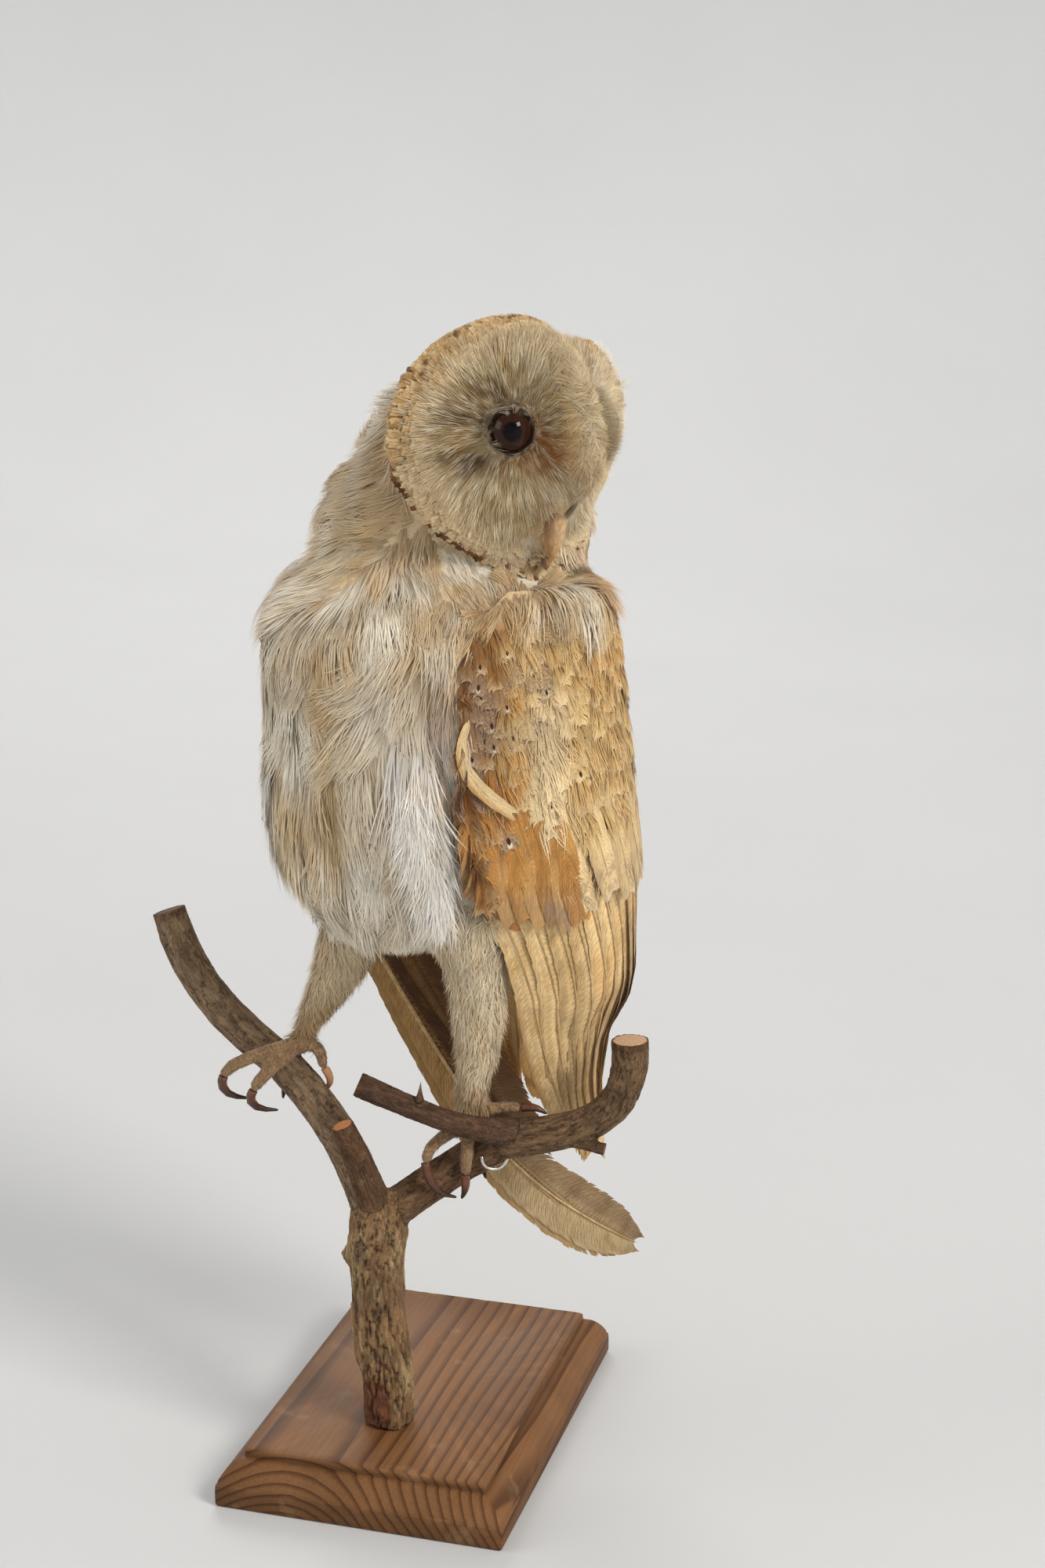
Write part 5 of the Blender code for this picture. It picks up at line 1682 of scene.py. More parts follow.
def grow_ruff(surface, small):
    """Folded rows of short stiff feathers round the face, with dark tips along the lower rim."""
    chance = np.random.default_rng(12)
    rows, in_row = 12, 190
    count = rows * in_row
    row_of = np.repeat(np.arange(rows), in_row)
    turns = np.tile(np.arange(in_row), rows) + 0.5 * (row_of % 2) + chance.normal(0, 0.25, count)
    turns = turns / in_row * 2 * math.pi
    degrees = np.degrees((turns + math.pi) % (2 * math.pi) - math.pi)
    around = np.abs(degrees)
    inner = 0.86 - 0.09 * band(35.0, 115.0, 20.0, around)
    level = row_of / (rows - 1) + chance.normal(0, 0.05, count) + 0.05 * np.sin(5 * turns + row_of)
    share = inner + (0.965 - inner) * np.clip(level, 0, 1.05)
    kept = ruff_gap(degrees) < 0.5
    turns, around, level, share, row_of = (
        values[kept] for values in (turns, around, level, share, row_of)
    )
    ahead = (1 - share) * DISC_DEPTH - 1.0 * (level > 0.6)
    (roots, normals, faces), radial = on_face(surface, turns, share, ahead)
    count = len(roots)
    near_low = step(93.0, 106.0, around) * (np.sin(turns) < 0.2)
    heading = radial - np.outer(0.3 + 1.2 * level * (1 - 0.7 * near_low), HEAD_FORWARD)
    heading = heading + chance.normal(0, 0.1, (count, 3))
    lengths = 4.8 + 1.6 * chance.random(count) + 1.0 * near_low * (level > 0.75)
    paths, ups = comb(surface, roots, normals, heading, lengths, 3, 0.75 - 0.4 * near_low)
    waves = row_of * 2.0 + 1.5 * np.sin(3 * turns) + 2.0 * cloud(roots, 14.0, 15)
    fold = 0.5 + 0.5 * np.cos(waves)
    paths = paths + ups * (1.1 * fold)[:, None, None]
    lift = 0.3 + 0.6 * fold + 0.3 * chance.random(count)
    own = chance.uniform(-1, 1, count)
    low = step(93.0, 104.0, around)
    white = np.maximum(0.75 * low, (np.sin(turns) > 0) * step(46.0, 56.0, around) * 0.9)
    blotch = 0.2 + 0.7 * step(0.35, 0.6, cloud(roots, 3.0, 17))
    blotch = blotch * (1.0 - 0.4 * step(146.0, 152.0, around)) * (1 - band(158.0, 164.0, 3.0, around))
    dark = low * (level > 0.74) * (chance.random(count) < blotch)
    rare = 0.04 + 0.12 * step(50.0, 30.0, around)
    speck = (chance.random(count) < rare) * (1 - low) * (level > 0.35)

    def paint(points, u, v, which):
        near, row = own[which], row_of[which]
        pale = 0.5 * np.clip(-near, 0, 1) + 0.3 * step(0.55, 0.95, u)
        tips = blend((124, 74, 32), DARK, 0.6 * (near > 0.3))
        return layered(
            (204, 160, 98),
            (CREAM, white[which]),
            (CREAM, 0.85 * (row < 3)),
            ((166, 118, 62), 0.5 * np.clip(near, 0, 1) * (row > 2) * (1 - low[which])),
            ((238, 216, 174), pale),
            # painted shade: darker towards each feather's base
            ((150, 112, 70), 0.5 * step(0.6, 0.2, u)),
            (DARK, 0.8 * speck[which] * step(0.6, 0.8, u)),
            (tips, dark[which] * step(0.45, 0.65, u)),
        )

    laid = (paths, ups, surface.map_places(roots, faces))
    patterns = several(
        vane_pattern, 80, 8, 8, 0.26, 0.34, fray=0.2, loose=0.3, points=3, round_tip=3.0, cover=1.5
    )
    grow("coat_ruff", small, "buff_feathers", laid, patterns, lengths * 0.23, lift, paint, 0.35)


def grow_fluff(surface, fur):
    """White down that stands out from the left half of the face and breaks its outline."""
    chance = np.random.default_rng(13)
    count, inner_share = 1350, 0.62
    turn = chance.uniform(48.0, 206.0, count)
    share = chance.uniform(inner_share, 1.0, count)
    turn = np.where((turn > 168.0) & (turn < 189.0), turn - 40.0, turn)  # keeps the bill clear
    share = np.where(turn > 180.0, 0.8 + 0.5 * (share - inner_share), share)
    turn = np.radians(turn)
    (roots, normals, faces), radial = on_face(surface, turn, share, (1 - share) * DISC_DEPTH)
    heading = radial + HEAD_FORWARD * 0.1 + normals * 0.3 + chance.normal(0, 0.2, (count, 3))
    lengths = 5.0 + 4.0 * chance.random(count) * band(40.0, 84.0, 14.0, np.degrees(turn))
    laid = comb(surface, roots, normals, heading, lengths, 3, 0.12)
    lift = 1.0 + 1.5 * chance.random(count)

    def paint(points, u, v, which):
        return layered(
            (234, 224, 202),
            (CREAM, 0.6 * step(0.4, 0.7, cloud(points, 6.0, 21))),
            # painted shade: darker towards each tuft's root
            ((172, 142, 102), 0.4 * step(0.4, 0.0, u)),
        )

    laid = (*laid, surface.map_places(roots, faces))
    patterns = several(tuft_pattern, 95, 5, 9, 0.3, 0.014, spread=1.2, loose=1.6)
    grow("coat_fluff", fur, "cream_feathers", laid, patterns, lengths * 0.26, lift, paint)


def grow_bristles(surface, fur):
    """Longer bristles that lean over the bill's base."""
    chance = np.random.default_rng(14)
    count, ahead_of_face = 170, 30.0
    out = chance.uniform(6.0, 12.0, count) * chance.choice((-1.0, 1.0), count)
    above = chance.uniform(-24.0, -6.0, count)
    out = np.where((out < 0) & (chance.random(count) < 0.5), -out, out)
    spots = in_head(ahead_of_face, out[:, None], above[:, None])
    roots, normals, faces = surface.nearest(spots)
    heading = HEAD_FORWARD * 0.35 - UP + np.outer(np.sign(out) * 0.1, HEAD_LEFT)
    heading = heading + chance.normal(0, 0.12, (count, 3))
    lengths = 7.0 + 5.0 * chance.random(count)
    laid = comb(surface, roots, normals, heading, lengths, 4, 0.55)
    lift = 0.8 + 1.6 * chance.random(count)

    def paint(points, u, v, which):
        return blend((226, 206, 172), (178, 142, 100), 0.4 * chance.random(len(points)))

    laid = (*laid, surface.map_places(roots, faces))
    patterns = several(tuft_pattern, 90, 4, 4, 0.12, 0.016, points=5)
    grow("coat_bristles", fur, "cream_feathers", laid, patterns, lengths * 0.14, lift, paint)


# ---------------------------------------------------------------- eyes, bill and claws


IRIS_FROM, IRIS_TO = 20.0, 31.0  # degrees from the eye's axis where the pupil ends
LID_OPENING, LID_WIDTH, LID_HEIGHT = 71.0, 1.6, 0.5


def eye_material():
    """Glass eye: black pupil, dark brown iris with fine spokes, under a clear gloss."""
    s = Shader("eye glass", 0.05, Specular_IOR_Level=0.17)
    polar, turn, _ = s.split(s.vector("look"))
    sine, cosine = (s.product(s.math(which, turn), 5.0) for which in ("SINE", "COSINE"))
    iris = s.mix(s.noise(s.join(sine, cosine, 0.0), 3.0, 3.0), (34, 17, 12), (60, 32, 22))
    iris = s.mix(s.rise(polar, 48.0, 64.0), iris, (40, 17, 13))
    return s.finish(s.mix(s.rise(polar, IRIS_FROM, IRIS_TO), (3, 2, 2), iris))


def lid_material():
    s = Shader("eyelid skin", 0.8, Specular_IOR_Level=0.1)
    grain = s.noise(s.place(), 1600.0, 3.0)
    return s.finish(s.mix(grain, (20, 11, 8), (48, 28, 20)), grain, 0.7, 0.3)


def eye_axes(side):
    """An eye's centre, the way it looks, and two directions across that."""
    ahead = gaze(side)
    across = unit(np.cross(UP, ahead))
    return eye_centre(side), ahead, across, np.cross(ahead, across)


def eyeball(side):
    """Points, faces and where each point lies round the eye's axis."""
    centre, ahead, across, above = eye_axes(side)
    rings = []
    for polar in np.radians(np.linspace(2.0, 128.0, 30)):
        bulge = EYE_RADIUS + 0.35 * math.exp(-((math.degrees(polar) / 30.0) ** 2))
        flat = ellipse(40, across, above)
        rings.append(centre + bulge * (math.sin(polar) * flat + math.cos(polar) * ahead))
    points, faces = loft(rings)
    away = unit(points - centre)
    polar = np.degrees(np.arccos(np.clip(away @ ahead, -1, 1)))
    turn = np.arctan2(away @ above, away @ across)
    return points, faces, np.stack([polar, turn, np.zeros(len(points))], 1)


def lid_ring(side):
    """A wrinkled ring of bare skin round the glass."""
    centre, ahead, across, above = eye_axes(side)
    rings = []
    for turn in np.arange(48) * 2 * math.pi / 48:
        spoke = math.cos(turn) * across + math.sin(turn) * above
        opening = math.radians(LID_OPENING + 1.5 * math.sin(turn * 3 + side))
        out = math.sin(opening) * spoke + math.cos(opening) * ahead
        along = math.cos(opening) * spoke - math.sin(opening) * ahead
        wrinkle = 1 + 0.12 * math.sin(9 * turn) + 0.1 * math.sin(17 * turn + 1)
        ring = ellipse(10, LID_WIDTH * wrinkle * along, LID_HEIGHT * wrinkle * out)
        rings.append(centre + (EYE_RADIUS + 0.15) * out + ring)
    return loft([*rings, rings[0]], closed_ends=False)


def make_eyes():
    glass, lid = eye_material(), lid_material()
    for side, label in ((1, "left"), (-1, "right")):
        points, faces, look = eyeball(side)
        eye = mesh_object(f"eye_{label}_glass", points, faces, glass, {"look": look})
        place(eye, "eye_glass", f"eye_{label}")
        place(mesh_object(f"lid_{label}", *lid_ring(side), lid), "foot_skin")


UPPER_BILL = [  # ahead of and above the head's centre, half width, half depth
    (18.6, -11.0, 4.2, 4.4),
    (22.4, -15.5, 4.9, 5.4),
    (24.8, -21.5, 4.7, 5.6),
    (25.6, -28.5, 4.0, 4.7),
    (25.0, -35.2, 2.8, 3.5),
    (22.8, -41.0, 1.5, 2.0),
    (20.2, -45.2, 0.25, 0.35),
]
LOWER_BILL = [
    (17.0, -26.0, 3.4, 2.6),
    (20.5, -32.0, 3.2, 2.3),
    (21.4, -37.5, 1.6, 1.1),
]


def bill_rings(stations, count):
    """Rings along half of the bill, a little keeled along its top."""
    rows = catmull(stations, count)
    path = in_head(rows[:, :1], 0.0, rows[:, 1:2])
    angles = np.arange(28) * 2 * math.pi / 28
    keel = 1 + 0.16 * np.cos(2 * angles - math.pi)
    rings = []
    for centre, tangent, (_, _, wide, deep) in zip(path, unit(np.gradient(path, axis=0)), rows):
        sideways = np.outer(np.cos(angles) * wide * keel, HEAD_LEFT)
        rings.append(centre + sideways + np.outer(np.sin(angles) * deep, np.cross(tangent, HEAD_LEFT)))
    return rings


def make_bill(horn):
    """Both halves of the bill: horn-brown at the base and tip, paler between."""
    for name, stations, count in (("bill_upper", UPPER_BILL, 40), ("bill_lower", LOWER_BILL, 16)):
        points, faces = loft(bill_rings(stations, count))
        _, out, above = head_coordinates(points)
        share = np.clip((-14.0 - above) / 31.0, 0, 1)
        tone = layered(
            (156, 116, 72),
            ((206, 168, 120), step(0.15, 0.5, share)),
            ((184, 140, 94), 0.7 * step(0.6, 0.85, share)),
            ((128, 82, 44), 0.6 * step(-1.2, -3.6, out)),
            ((226, 196, 160), 0.6 * step(2.0, 3.8, out)),
        )
        place(mesh_object(f"{name}_horn", points, faces, horn, {"tone": tone}), "bill_horn", name)


def horn_material(name, roughness):
    """Horn with fine lengthwise streaks and cloudy patches, under a thin polish."""
    s = Shader(name, roughness, Coat_Weight=0.25, Coat_Roughness=0.25)
    streaks = s.noise(s.times(s.place(), (1.0, 1.0, 0.22)), 1500.0, 3.0)
    clouds = s.noise(s.place(), 320.0, 2.0)
    colour = s.varied(s.varied(s.tone(), streaks, 0.8, 1.1), clouds, 0.75, 1.12)
    rough = s.rise(clouds, 0.3, 0.7, roughness - 0.08, roughness + 0.2)
    return s.finish(colour, streaks, 0.25, 0.12, rough)


def make_claws(horn):
    """The claws, smoothed from their solids, darker towards the tip. One has a pale, worn sheath."""
    for toe in TOES:
        name = toe.replace("toe", "claw")
        points, quads = fused([name], voxel=0.32, swell=0.3)
        points = relax(points, quads, 4)
        share = (points[:, 2].max() - points[:, 2]) / np.ptp(points[:, 2])
        tone = blend((104, 58, 32), (60, 32, 16), step(0.2, 0.8, share))
        if toe == "toe_right_inner":
            tone = blend(tone, (206, 150, 108), 0.7)
        place(mesh_object(f"{name}_horn", points, quads, horn, {"tone": tone}), "claw_horn", name)


# ---------------------------------------------------------------- flight feathers

SHAFT_RINGS = 24


def path_normals(path, face):
    """Normals along one path, square to it and as near as can be to face."""
    tangents = unit(np.gradient(path, axis=0))
    face = np.broadcast_to(face, path.shape)
    return unit(face - tangents * np.sum(face * tangents, 1, keepdims=True))


def lay_quills(name, material, feathers, patterns, camber, tone, *replaced):
    """Large feathers as one piece. Each has a strip of the OFBake map to itself.

    feathers are paths, normals and half widths. tone(points, u, v, k) gives the k-th one's colours.
    """
    batch = Batch()
    chance = np.random.default_rng(len(feathers))
    for k, (path, up, width) in enumerate(feathers):
        pattern = patterns[k % len(patterns)]
        points = flesh_out(pattern, path[None], up[None], np.array([width]), np.zeros(1), camber)
        u, v = pattern.u, pattern.v
        strip = (k + 0.5 + np.clip(v, -1.1, 1.1) * 0.42) / len(feathers)
        places = np.stack([0.02 + 0.96 * np.clip(u, 0, 1.02) / 1.02, strip], 1)
        marks = np.zeros((len(u), 3))
        batch.add(pattern, points, tone(points[0], u, v, k), chance.random(1), marks, places)
    batch.make(name, material, "quills", *replaced)


def shaft_tubes(name, material, feathers, radius, lift):
    """Round quill shafts along the large feathers."""
    tubes = []
    for path, up, _ in feathers:
        shares = np.linspace(0, 0.96, SHAFT_RINGS) * (len(path) - 1)
        k = np.minimum(shares.astype(int), len(path) - 2)
        part = (shares - k)[:, None]
        line = path[k] * (1 - part) + path[k + 1] * part
        line = line + (up[k] * (1 - part) + up[k + 1] * part) * lift
        radii = radius * (1 - np.linspace(0, 1, SHAFT_RINGS) ** 1.3 * 0.85)
        tubes.append(loft(tube_rings(line, radii, 7)))
    points, faces = joined(tubes)
    tone = np.broadcast_to(tint((214, 180, 128)), points.shape)
    place(mesh_object(name, points, faces, material, {"tone": tone}), "quills")


FLIGHT_TONES = {
    "primary": (246, 214, 156),
    "secondary": (232, 196, 134),
    "covert": (194, 138, 68),
    "greater": (240, 210, 156),
    "alula": (226, 198, 150),
}
SPECKLED_COVERTS = (22, 23)  # the ones whose tips are grey in the photo


def flight_feathers(side):
    """Each large wing feather, as its kind, how far back, how high and how proud of the wing its
    root and tip lie, its half width and its bend.
    """
    chance = np.random.default_rng(30 + side)
    inset = 0.0 if side > 0 else 0.1
    feathers = []
    for k, share in enumerate(np.linspace(0, 1, 9)):
        back = (inset + 0.02 + 0.42 * share, inset * 0.5 + 0.12 + 0.66 * share)
        heights, proud = (266.0, 122.0 + 5.0 * abs(k - 3)), (-2.6, -1.4 + 0.16 * k)
        feathers.append(("primary", back, heights, proud, 7.6, 0.0))
    for k, share in enumerate(np.linspace(0, 1, 9)):
        back = (0.44 + 0.44 * share, 0.6 + 0.4 * share)
        heights, proud = (282.0, 186.0 + 13.0 * share), (-1.6, 0.1 + 0.12 * k)
        feathers.append(("secondary", back, heights, proud, 7.4, 0.0))
    for k, share in enumerate(np.linspace(0, 1, 7)):
        back = (2 * inset + 0.02 + 0.13 * share, 2 * inset + 0.02 + 0.19 * share)
        tip = 246.0 - 11.0 * math.sin(share * 2.4) + chance.uniform(-4, 4)
        proud = (-2.4 - 30 * inset, 1.2 + 0.2 * k - 30 * inset)
        feathers.append(("covert", back, (298.0, tip), proud, 6.4, 0.02))
    for k, share in enumerate(np.linspace(0, 1, 9)):
        back = (0.18 + 0.7 * share, 0.24 + 0.72 * share)
        tip = 240.0 + 8.0 * share + chance.uniform(-3, 3)
        sunk = 20 * inset * (1 - share)
        feathers.append(("greater", back, (296.0, tip), (-2.4 - sunk, 1.8 + 0.06 * k - sunk), 6.6, 0.0))
    if side > 0:
        feathers.append(("alula", (0.015, 0.1), (322.0, 284.0), (-0.2, 0.8), 3.0, -0.045))
    return feathers


def wing_paths(feathers, side):
    """Paths, normals and half widths of large feathers on a wing."""
    shares = np.linspace(0, 1, 11)
    laid = []
    for _, back, heights, proud, width, bend in feathers:
        backs = back[0] + (back[1] - back[0]) * shares + bend * np.sin(shares * math.pi)
        levels = heights[0] + (heights[1] - heights[0]) * shares
        path, up = on_wing(np.clip(backs, 0.0, 1.02), levels, side)
        path = path + up * (proud[0] + (proud[1] - proud[0]) * shares)[:, None]
        laid.append((path, path_normals(path, up), width))
    return laid


def flight_tone(kind, number, outer, points, u, v):
    """Colours of one large wing feather. outer runs from 1 at the edge that shows to -1."""
    tone = FLIGHT_TONES[kind]
    if kind == "alula":
        return blend(tone, GOLD, 0.7 * step(0.1, 0.8, -outer))
    lumps = step(0.45, 0.7, cloud(points, (5.0, 5.0, 16.0), 51))
    tone = layered(
        tone,
        (GOLD, (0.25 if kind == "greater" else 0.5) * lumps),
        # painted shade: the inner vane darker where the next feather lies over it
        ((150, 104, 56), 0.4 * step(0.0, -1.0, outer)),
        ((238, 212, 162), 0.45 * step(0.72, 0.95, outer)),
        ((140, 98, 54), 0.5 * step(0.1, 0.02, np.abs(v))),
    )
    if kind == "primary":
        worn = step(0.82, 0.97, np.abs(v)) * step(0.35, 0.7, u)
        tone = layered(
            tone,
            ((132, 92, 52), 0.75 * worn),
            ((150, 108, 62), 0.6 * step(0.93, 1.0, u)),
        )
    if kind in ("primary", "secondary"):
        bars = sum(band(start, start + 0.05, 0.015, u) for start in (0.34, 0.52, 0.7, 0.86))
        tone = blend(tone, (140, 106, 68), 0.32 * bars * cloud(points, 3.0, 55))
    if kind == "covert":
        patches = step(0.3, 0.6, cloud(points, 9.0, 53)) * step(0.8, 0.6, u)
        specks = step(0.35, 0.6, cloud(points, 2.2, 57)) * step(0.66, 0.84, u)
        tone = layered(
            tone,
            ((176, 116, 54), 0.45 * patches),
            ((232, 192, 132), 0.5 * (number % 2) * step(0.3, 0.9, u)),
            (VERMICULE, (0.85 if number in SPECKLED_COVERTS else 0.25) * specks),
        )
    if kind == "greater":
        specks = step(0.45, 0.6, cloud(points, 2.0, 59)) * step(0.6, 0.85, u)
        tone = layered(tone, (VERMICULE, 0.6 * specks), (WHITE, 0.5 * step(0.95, 1.0, u)))
    if kind == "secondary":
        specks = step(0.55, 0.66, cloud(points, 1.6, 61)) * step(0.4, 0.6, u)
        tone = layered(
            tone,
            ((236, 212, 168), 0.6 * step(0.94, 1.0, u)),
            ((112, 84, 58), 0.7 * specks),
        )
    return tone


def grow_flights(plumage, small, horn):
    """Primaries, secondaries and the large coverts of both wings."""
    settings = {"fray": 0.05, "loose": 0.12, "round_tip": 7.0, "cover": 1.8}
    long_vane = several(vane_pattern, 100, 4, 50, 0.075, 0.085, **settings)
    settings = {"fray": 0.04, "loose": 0.12, "round_tip": 4.0, "cover": 1.9}
    cover_vane = several(vane_pattern, 110, 4, 30, 0.14, 0.16, **settings)
    quills, coverts = ("primary", "secondary"), ("covert", "greater", "alula")
    for side, label in ((1, "left"), (-1, "right")):
        feathers = flight_feathers(side)
        paths = wing_paths(feathers, side)
        for group, members, material, patterns in (
            ("quills", quills, plumage, long_vane),
            ("coverts", coverts, small, cover_vane),
        ):
            chosen = [k for k, feather in enumerate(feathers) if feather[0] in members]

            def paint(points, u, v, k):
                number = chosen[k]
                return flight_tone(feathers[number][0], number, -v * side, points, u, v)

            replaced = (f"wing_{label}_flight",) if group == "quills" else ()
            laid = [paths[k] for k in chosen]
            lay_quills(f"{group}_{label}", material, laid, patterns, 0.12, paint, *replaced)
            if group == "quills":
                shafts = laid
        shaft_tubes(f"shafts_{label}", horn, shafts, 0.6, 0.25)


TAIL_FEATHERS = 12
TAIL_STATIONS = [  # behind the body axis, to its left, height, half width
    (46.0, 0.0, 262.0, 13.0),
    (56.0, 0.0, 238.0, 14.0),
    (66.0, 0.0, 210.0, 14.5),
    (75.0, 0.5, 180.0, 14.0),
    (83.0, 1.0, 150.0, 13.0),
    (88.0, 1.0, 130.0, 12.0),
    (90.0, 1.0, 122.0, 11.0),
]


def tail_tone(points, u, v, k):
    """Buff with four faint dark bars, grey speckles near the tip and a pale end."""
    bars = sum(band(start, start + 0.045, 0.012, u) for start in (0.28, 0.46, 0.64, 0.82))
    speck = step(0.45, 0.65, cloud(points, 1.8, 65)) * step(0.85, 0.97, u)
    return layered(
        (214, 172, 108),
        (PALE_GOLD, step(0.4, 0.7, cloud(points, 9.0, 63))),
        ((122, 90, 58), 0.6 * bars),
        (VERMICULE, 0.7 * speck),
        (WHITE, 0.4 * step(0.97, 1.0, u)),
    )


def grow_tail(plumage, horn):
    """Twelve tail feathers, a little fanned, the middle ones on top."""
    rows = catmull(TAIL_STATIONS, 11)
    root = np.array([*body_axis(TAIL_STATIONS[0][2]), 0.0])
    feathers = []
    for fan in (np.arange(TAIL_FEATHERS) - 5.5) / 5.5:
        depth = -1.6 + 1.9 * (1 - abs(fan))
        path = root - np.outer(rows[:, 0] + depth, BODY_FORWARD)
        path = path + np.outer(rows[:, 1] + fan * rows[:, 3] * 0.8, BODY_LEFT)
        path = path + np.outer(rows[:, 2] + 3 * abs(fan), UP)
        up = path_normals(path, -BODY_FORWARD + 0.25 * fan * BODY_LEFT)
        feathers.append((path, up, 7.0))
    settings = {"fray": 0.05, "loose": 0.12, "round_tip": 8.0, "cover": 1.7}
    vane = several(vane_pattern, 120, 3, 44, 0.07, 0.075, **settings)
    lay_quills("tail_quills", plumage, feathers, vane, 0.08, tail_tone, "tail")
    shaft_tubes("shafts_tail", horn, feathers, 0.6, 0.2)


SPLAYED_STATIONS = [  # x, y, z, half width
    (-20.0, 35.0, 242.0, 5.0),
    (-6.0, 40.0, 212.0, 7.0),
    (9.0, 47.0, 181.0, 9.0),
    (26.0, 53.0, 149.0, 10.5),
    (44.0, 58.0, 117.0, 11.5),
    (62.0, 59.0, 98.0, 12.5),
    (80.0, 57.5, 85.5, 13.0),
    (94.0, 55.0, 78.5, 11.5),
    (104.0, 53.0, 74.5, 5.5),
]
SPLAYED_FACE = np.array([-0.15, -0.95, 0.27])
SPLAYED_WIDTH = 11.0
SHORT_END = 17  # stations that the third, shortest of the layered feathers keeps


def splayed_tone(points, u, v, k):
    """Inner vane painted dark as shade and outer vane painted warm buff as light shining through from
    behind, both paler past the middle. The feathers below are plainer; the third is painted dark brown as
    shade.
    """
    low = step(0.45, 0.6, u)
    bars = sum(band(start, start + 0.03, 0.008, u) for start in (0.58, 0.68, 0.78, 0.88))
    # painted shade and light: the inner vane dark brown as shade, the outer vane warm buff as light shining
    # through it from behind
    inner = layered((92, 60, 36), ((166, 140, 106), low), ((120, 92, 62), 0.35 * bars))
    outer = blend((206, 164, 104), (208, 182, 138), low)
    return layered(
        inner,
        (outer, step(-0.03, 0.03, v)),
        ((150, 112, 66), 0.4 * step(0.5, 0.75, cloud(points, 3.0, 71))),
        ((112, 84, 56), 0.5 * step(0.93, 1.0, u)),
        ((188, 150, 98), 0.6 * (k == 1)),
        # painted shade: the third feather, layered under the others, dark brown
        ((104, 70, 40), 0.8 * (k == 2)),
    )


def grow_splayed(plumage, horn):
    """The far wing's splayed primary, crossing behind the legs, with two more layered under it."""
    rows = catmull(SPLAYED_STATIONS, 28)
    path, halves = rows[:, :3], rows[:, 3]
    tangents = np.gradient(path, axis=0)
    up = path_normals(path, SPLAYED_FACE)
    side = unit(np.cross(tangents, up))
    second = path + side * 3.0 - up * 0.9
    second[-6:] -= unit(tangents)[-6:] * 3.0
    third = (path - side * 10.0 - up * 1.6)[:SHORT_END]
    upper = vane_pattern(
        131, 90, 0.07, 0.055, fray=0.05, loose=0.1, points=5, round_tip=9.0, cover=1.7
    )
    lower = vane_pattern(
        137, 80, 0.07, 0.06, fray=0.08, loose=0.2, points=5, round_tip=6.0, cover=1.6
    )
    shares = np.linspace(0, 1, len(rows))
    patterns = []
    for pattern in (upper, lower, lower):
        patterns.append(pattern.widened(np.interp(pattern.u, shares, halves) / SPLAYED_WIDTH))
    laid = [(path, up), (second, up), (third, up[:SHORT_END])]
    feathers = [(*each, SPLAYED_WIDTH) for each in laid]
    lay_quills("splayed_quills", plumage, feathers, patterns, 0.06, splayed_tone, "quill_splayed")
    shaft_tubes("shafts_splayed", horn, feathers[:1], 1.05, 0.5)


# ---------------------------------------------------------------- branch

LIMBS = {  # stations of x, y, z, radius
    "trunk": [
        (0, 0, 22, 10.6),
        (-0.6, 0.2, 45, 11),
        (-2.6, 0.5, 70, 10.4),
        (-3.6, 0.3, 92, 10.6),
        (-2.6, 0, 108, 11.4),
        (-2.4, 0, 118, 9),
    ],
    "limb_left": [
        (-5, 1, 114, 8.2),
        (-11, 3.5, 129, 7.9),
        (-17.5, 7, 141, 7.6),
        (-28, 16, 153, 7.4),
        (-41, 24, 165.5, 7.4),
        (-59.5, 32, 178.5, 7.5),
        (-73.5, 37, 193.5, 7.1),
        (-82.5, 40, 209, 6.9),
        (-87.5, 42, 224, 6.6),
    ],
    "stub": [(-3.5, -3.5, 118, 6.4), (-8, -7, 133, 5.6), (-12.5, -9, 145, 4.9), (-15.6, -9.5, 153.5, 4.4)],
    "limb_right": [(3, 1, 113, 7.6), (16, 5, 121.5, 7.3), (31, 8, 130.5, 7.6), (47, 5, 142, 8.4)],
    "arm_front": [
        (49, 2, 146, 6),
        (40, -5, 149.5, 5),
        (27, -8, 153.8, 4.4),
        (9, -9, 161.5, 4.3),
        (-9.6, -8, 169.6, 4.6),
    ],
    "arm_rear": [
        (47, 4, 142.5, 7.8),
        (64, 2, 145, 7.3),
        (80, 0, 150.5, 6.9),
        (91, -2, 161, 6.9),
        (95.5, -2, 174, 6.9),
        (95.6, -2, 186, 7.2),
    ],
    "snag": [(72, -2, 144.5, 2.6), (79, -4, 143.2, 2.2), (86.5, -6, 142, 2.4)],
}
LIMB_TONES = {
    "trunk": (146, 114, 80),
    "limb_left": (142, 118, 92),
    "stub": (104, 76, 54),
    "limb_right": (120, 92, 66),
    "arm_front": (98, 72, 56),
    "arm_rear": (122, 96, 70),
    "snag": (104, 80, 58),
}
CUT_TONES = {  # of the sawn ends
    "limb_left": (104, 78, 54),
    "stub": (190, 124, 72),
    "arm_front": (110, 78, 58),
    "arm_rear": (216, 178, 146),
    "snag": (130, 96, 68),
}
DARK_CORES = ("limb_left", "arm_front")
ROUGH_LIMBS = ("limb_right", "arm_rear")
LINE_POINTS = 60  # along each limb's middle line
THORN = [
    (14.4, -10.5, 164.0, 2.0),
    (14.7, -11.3, 167.0, 1.0),
    (14.9, -12.0, 170.0, 0.45),
    (15.1, -12.3, 172.0, 0.12),
]
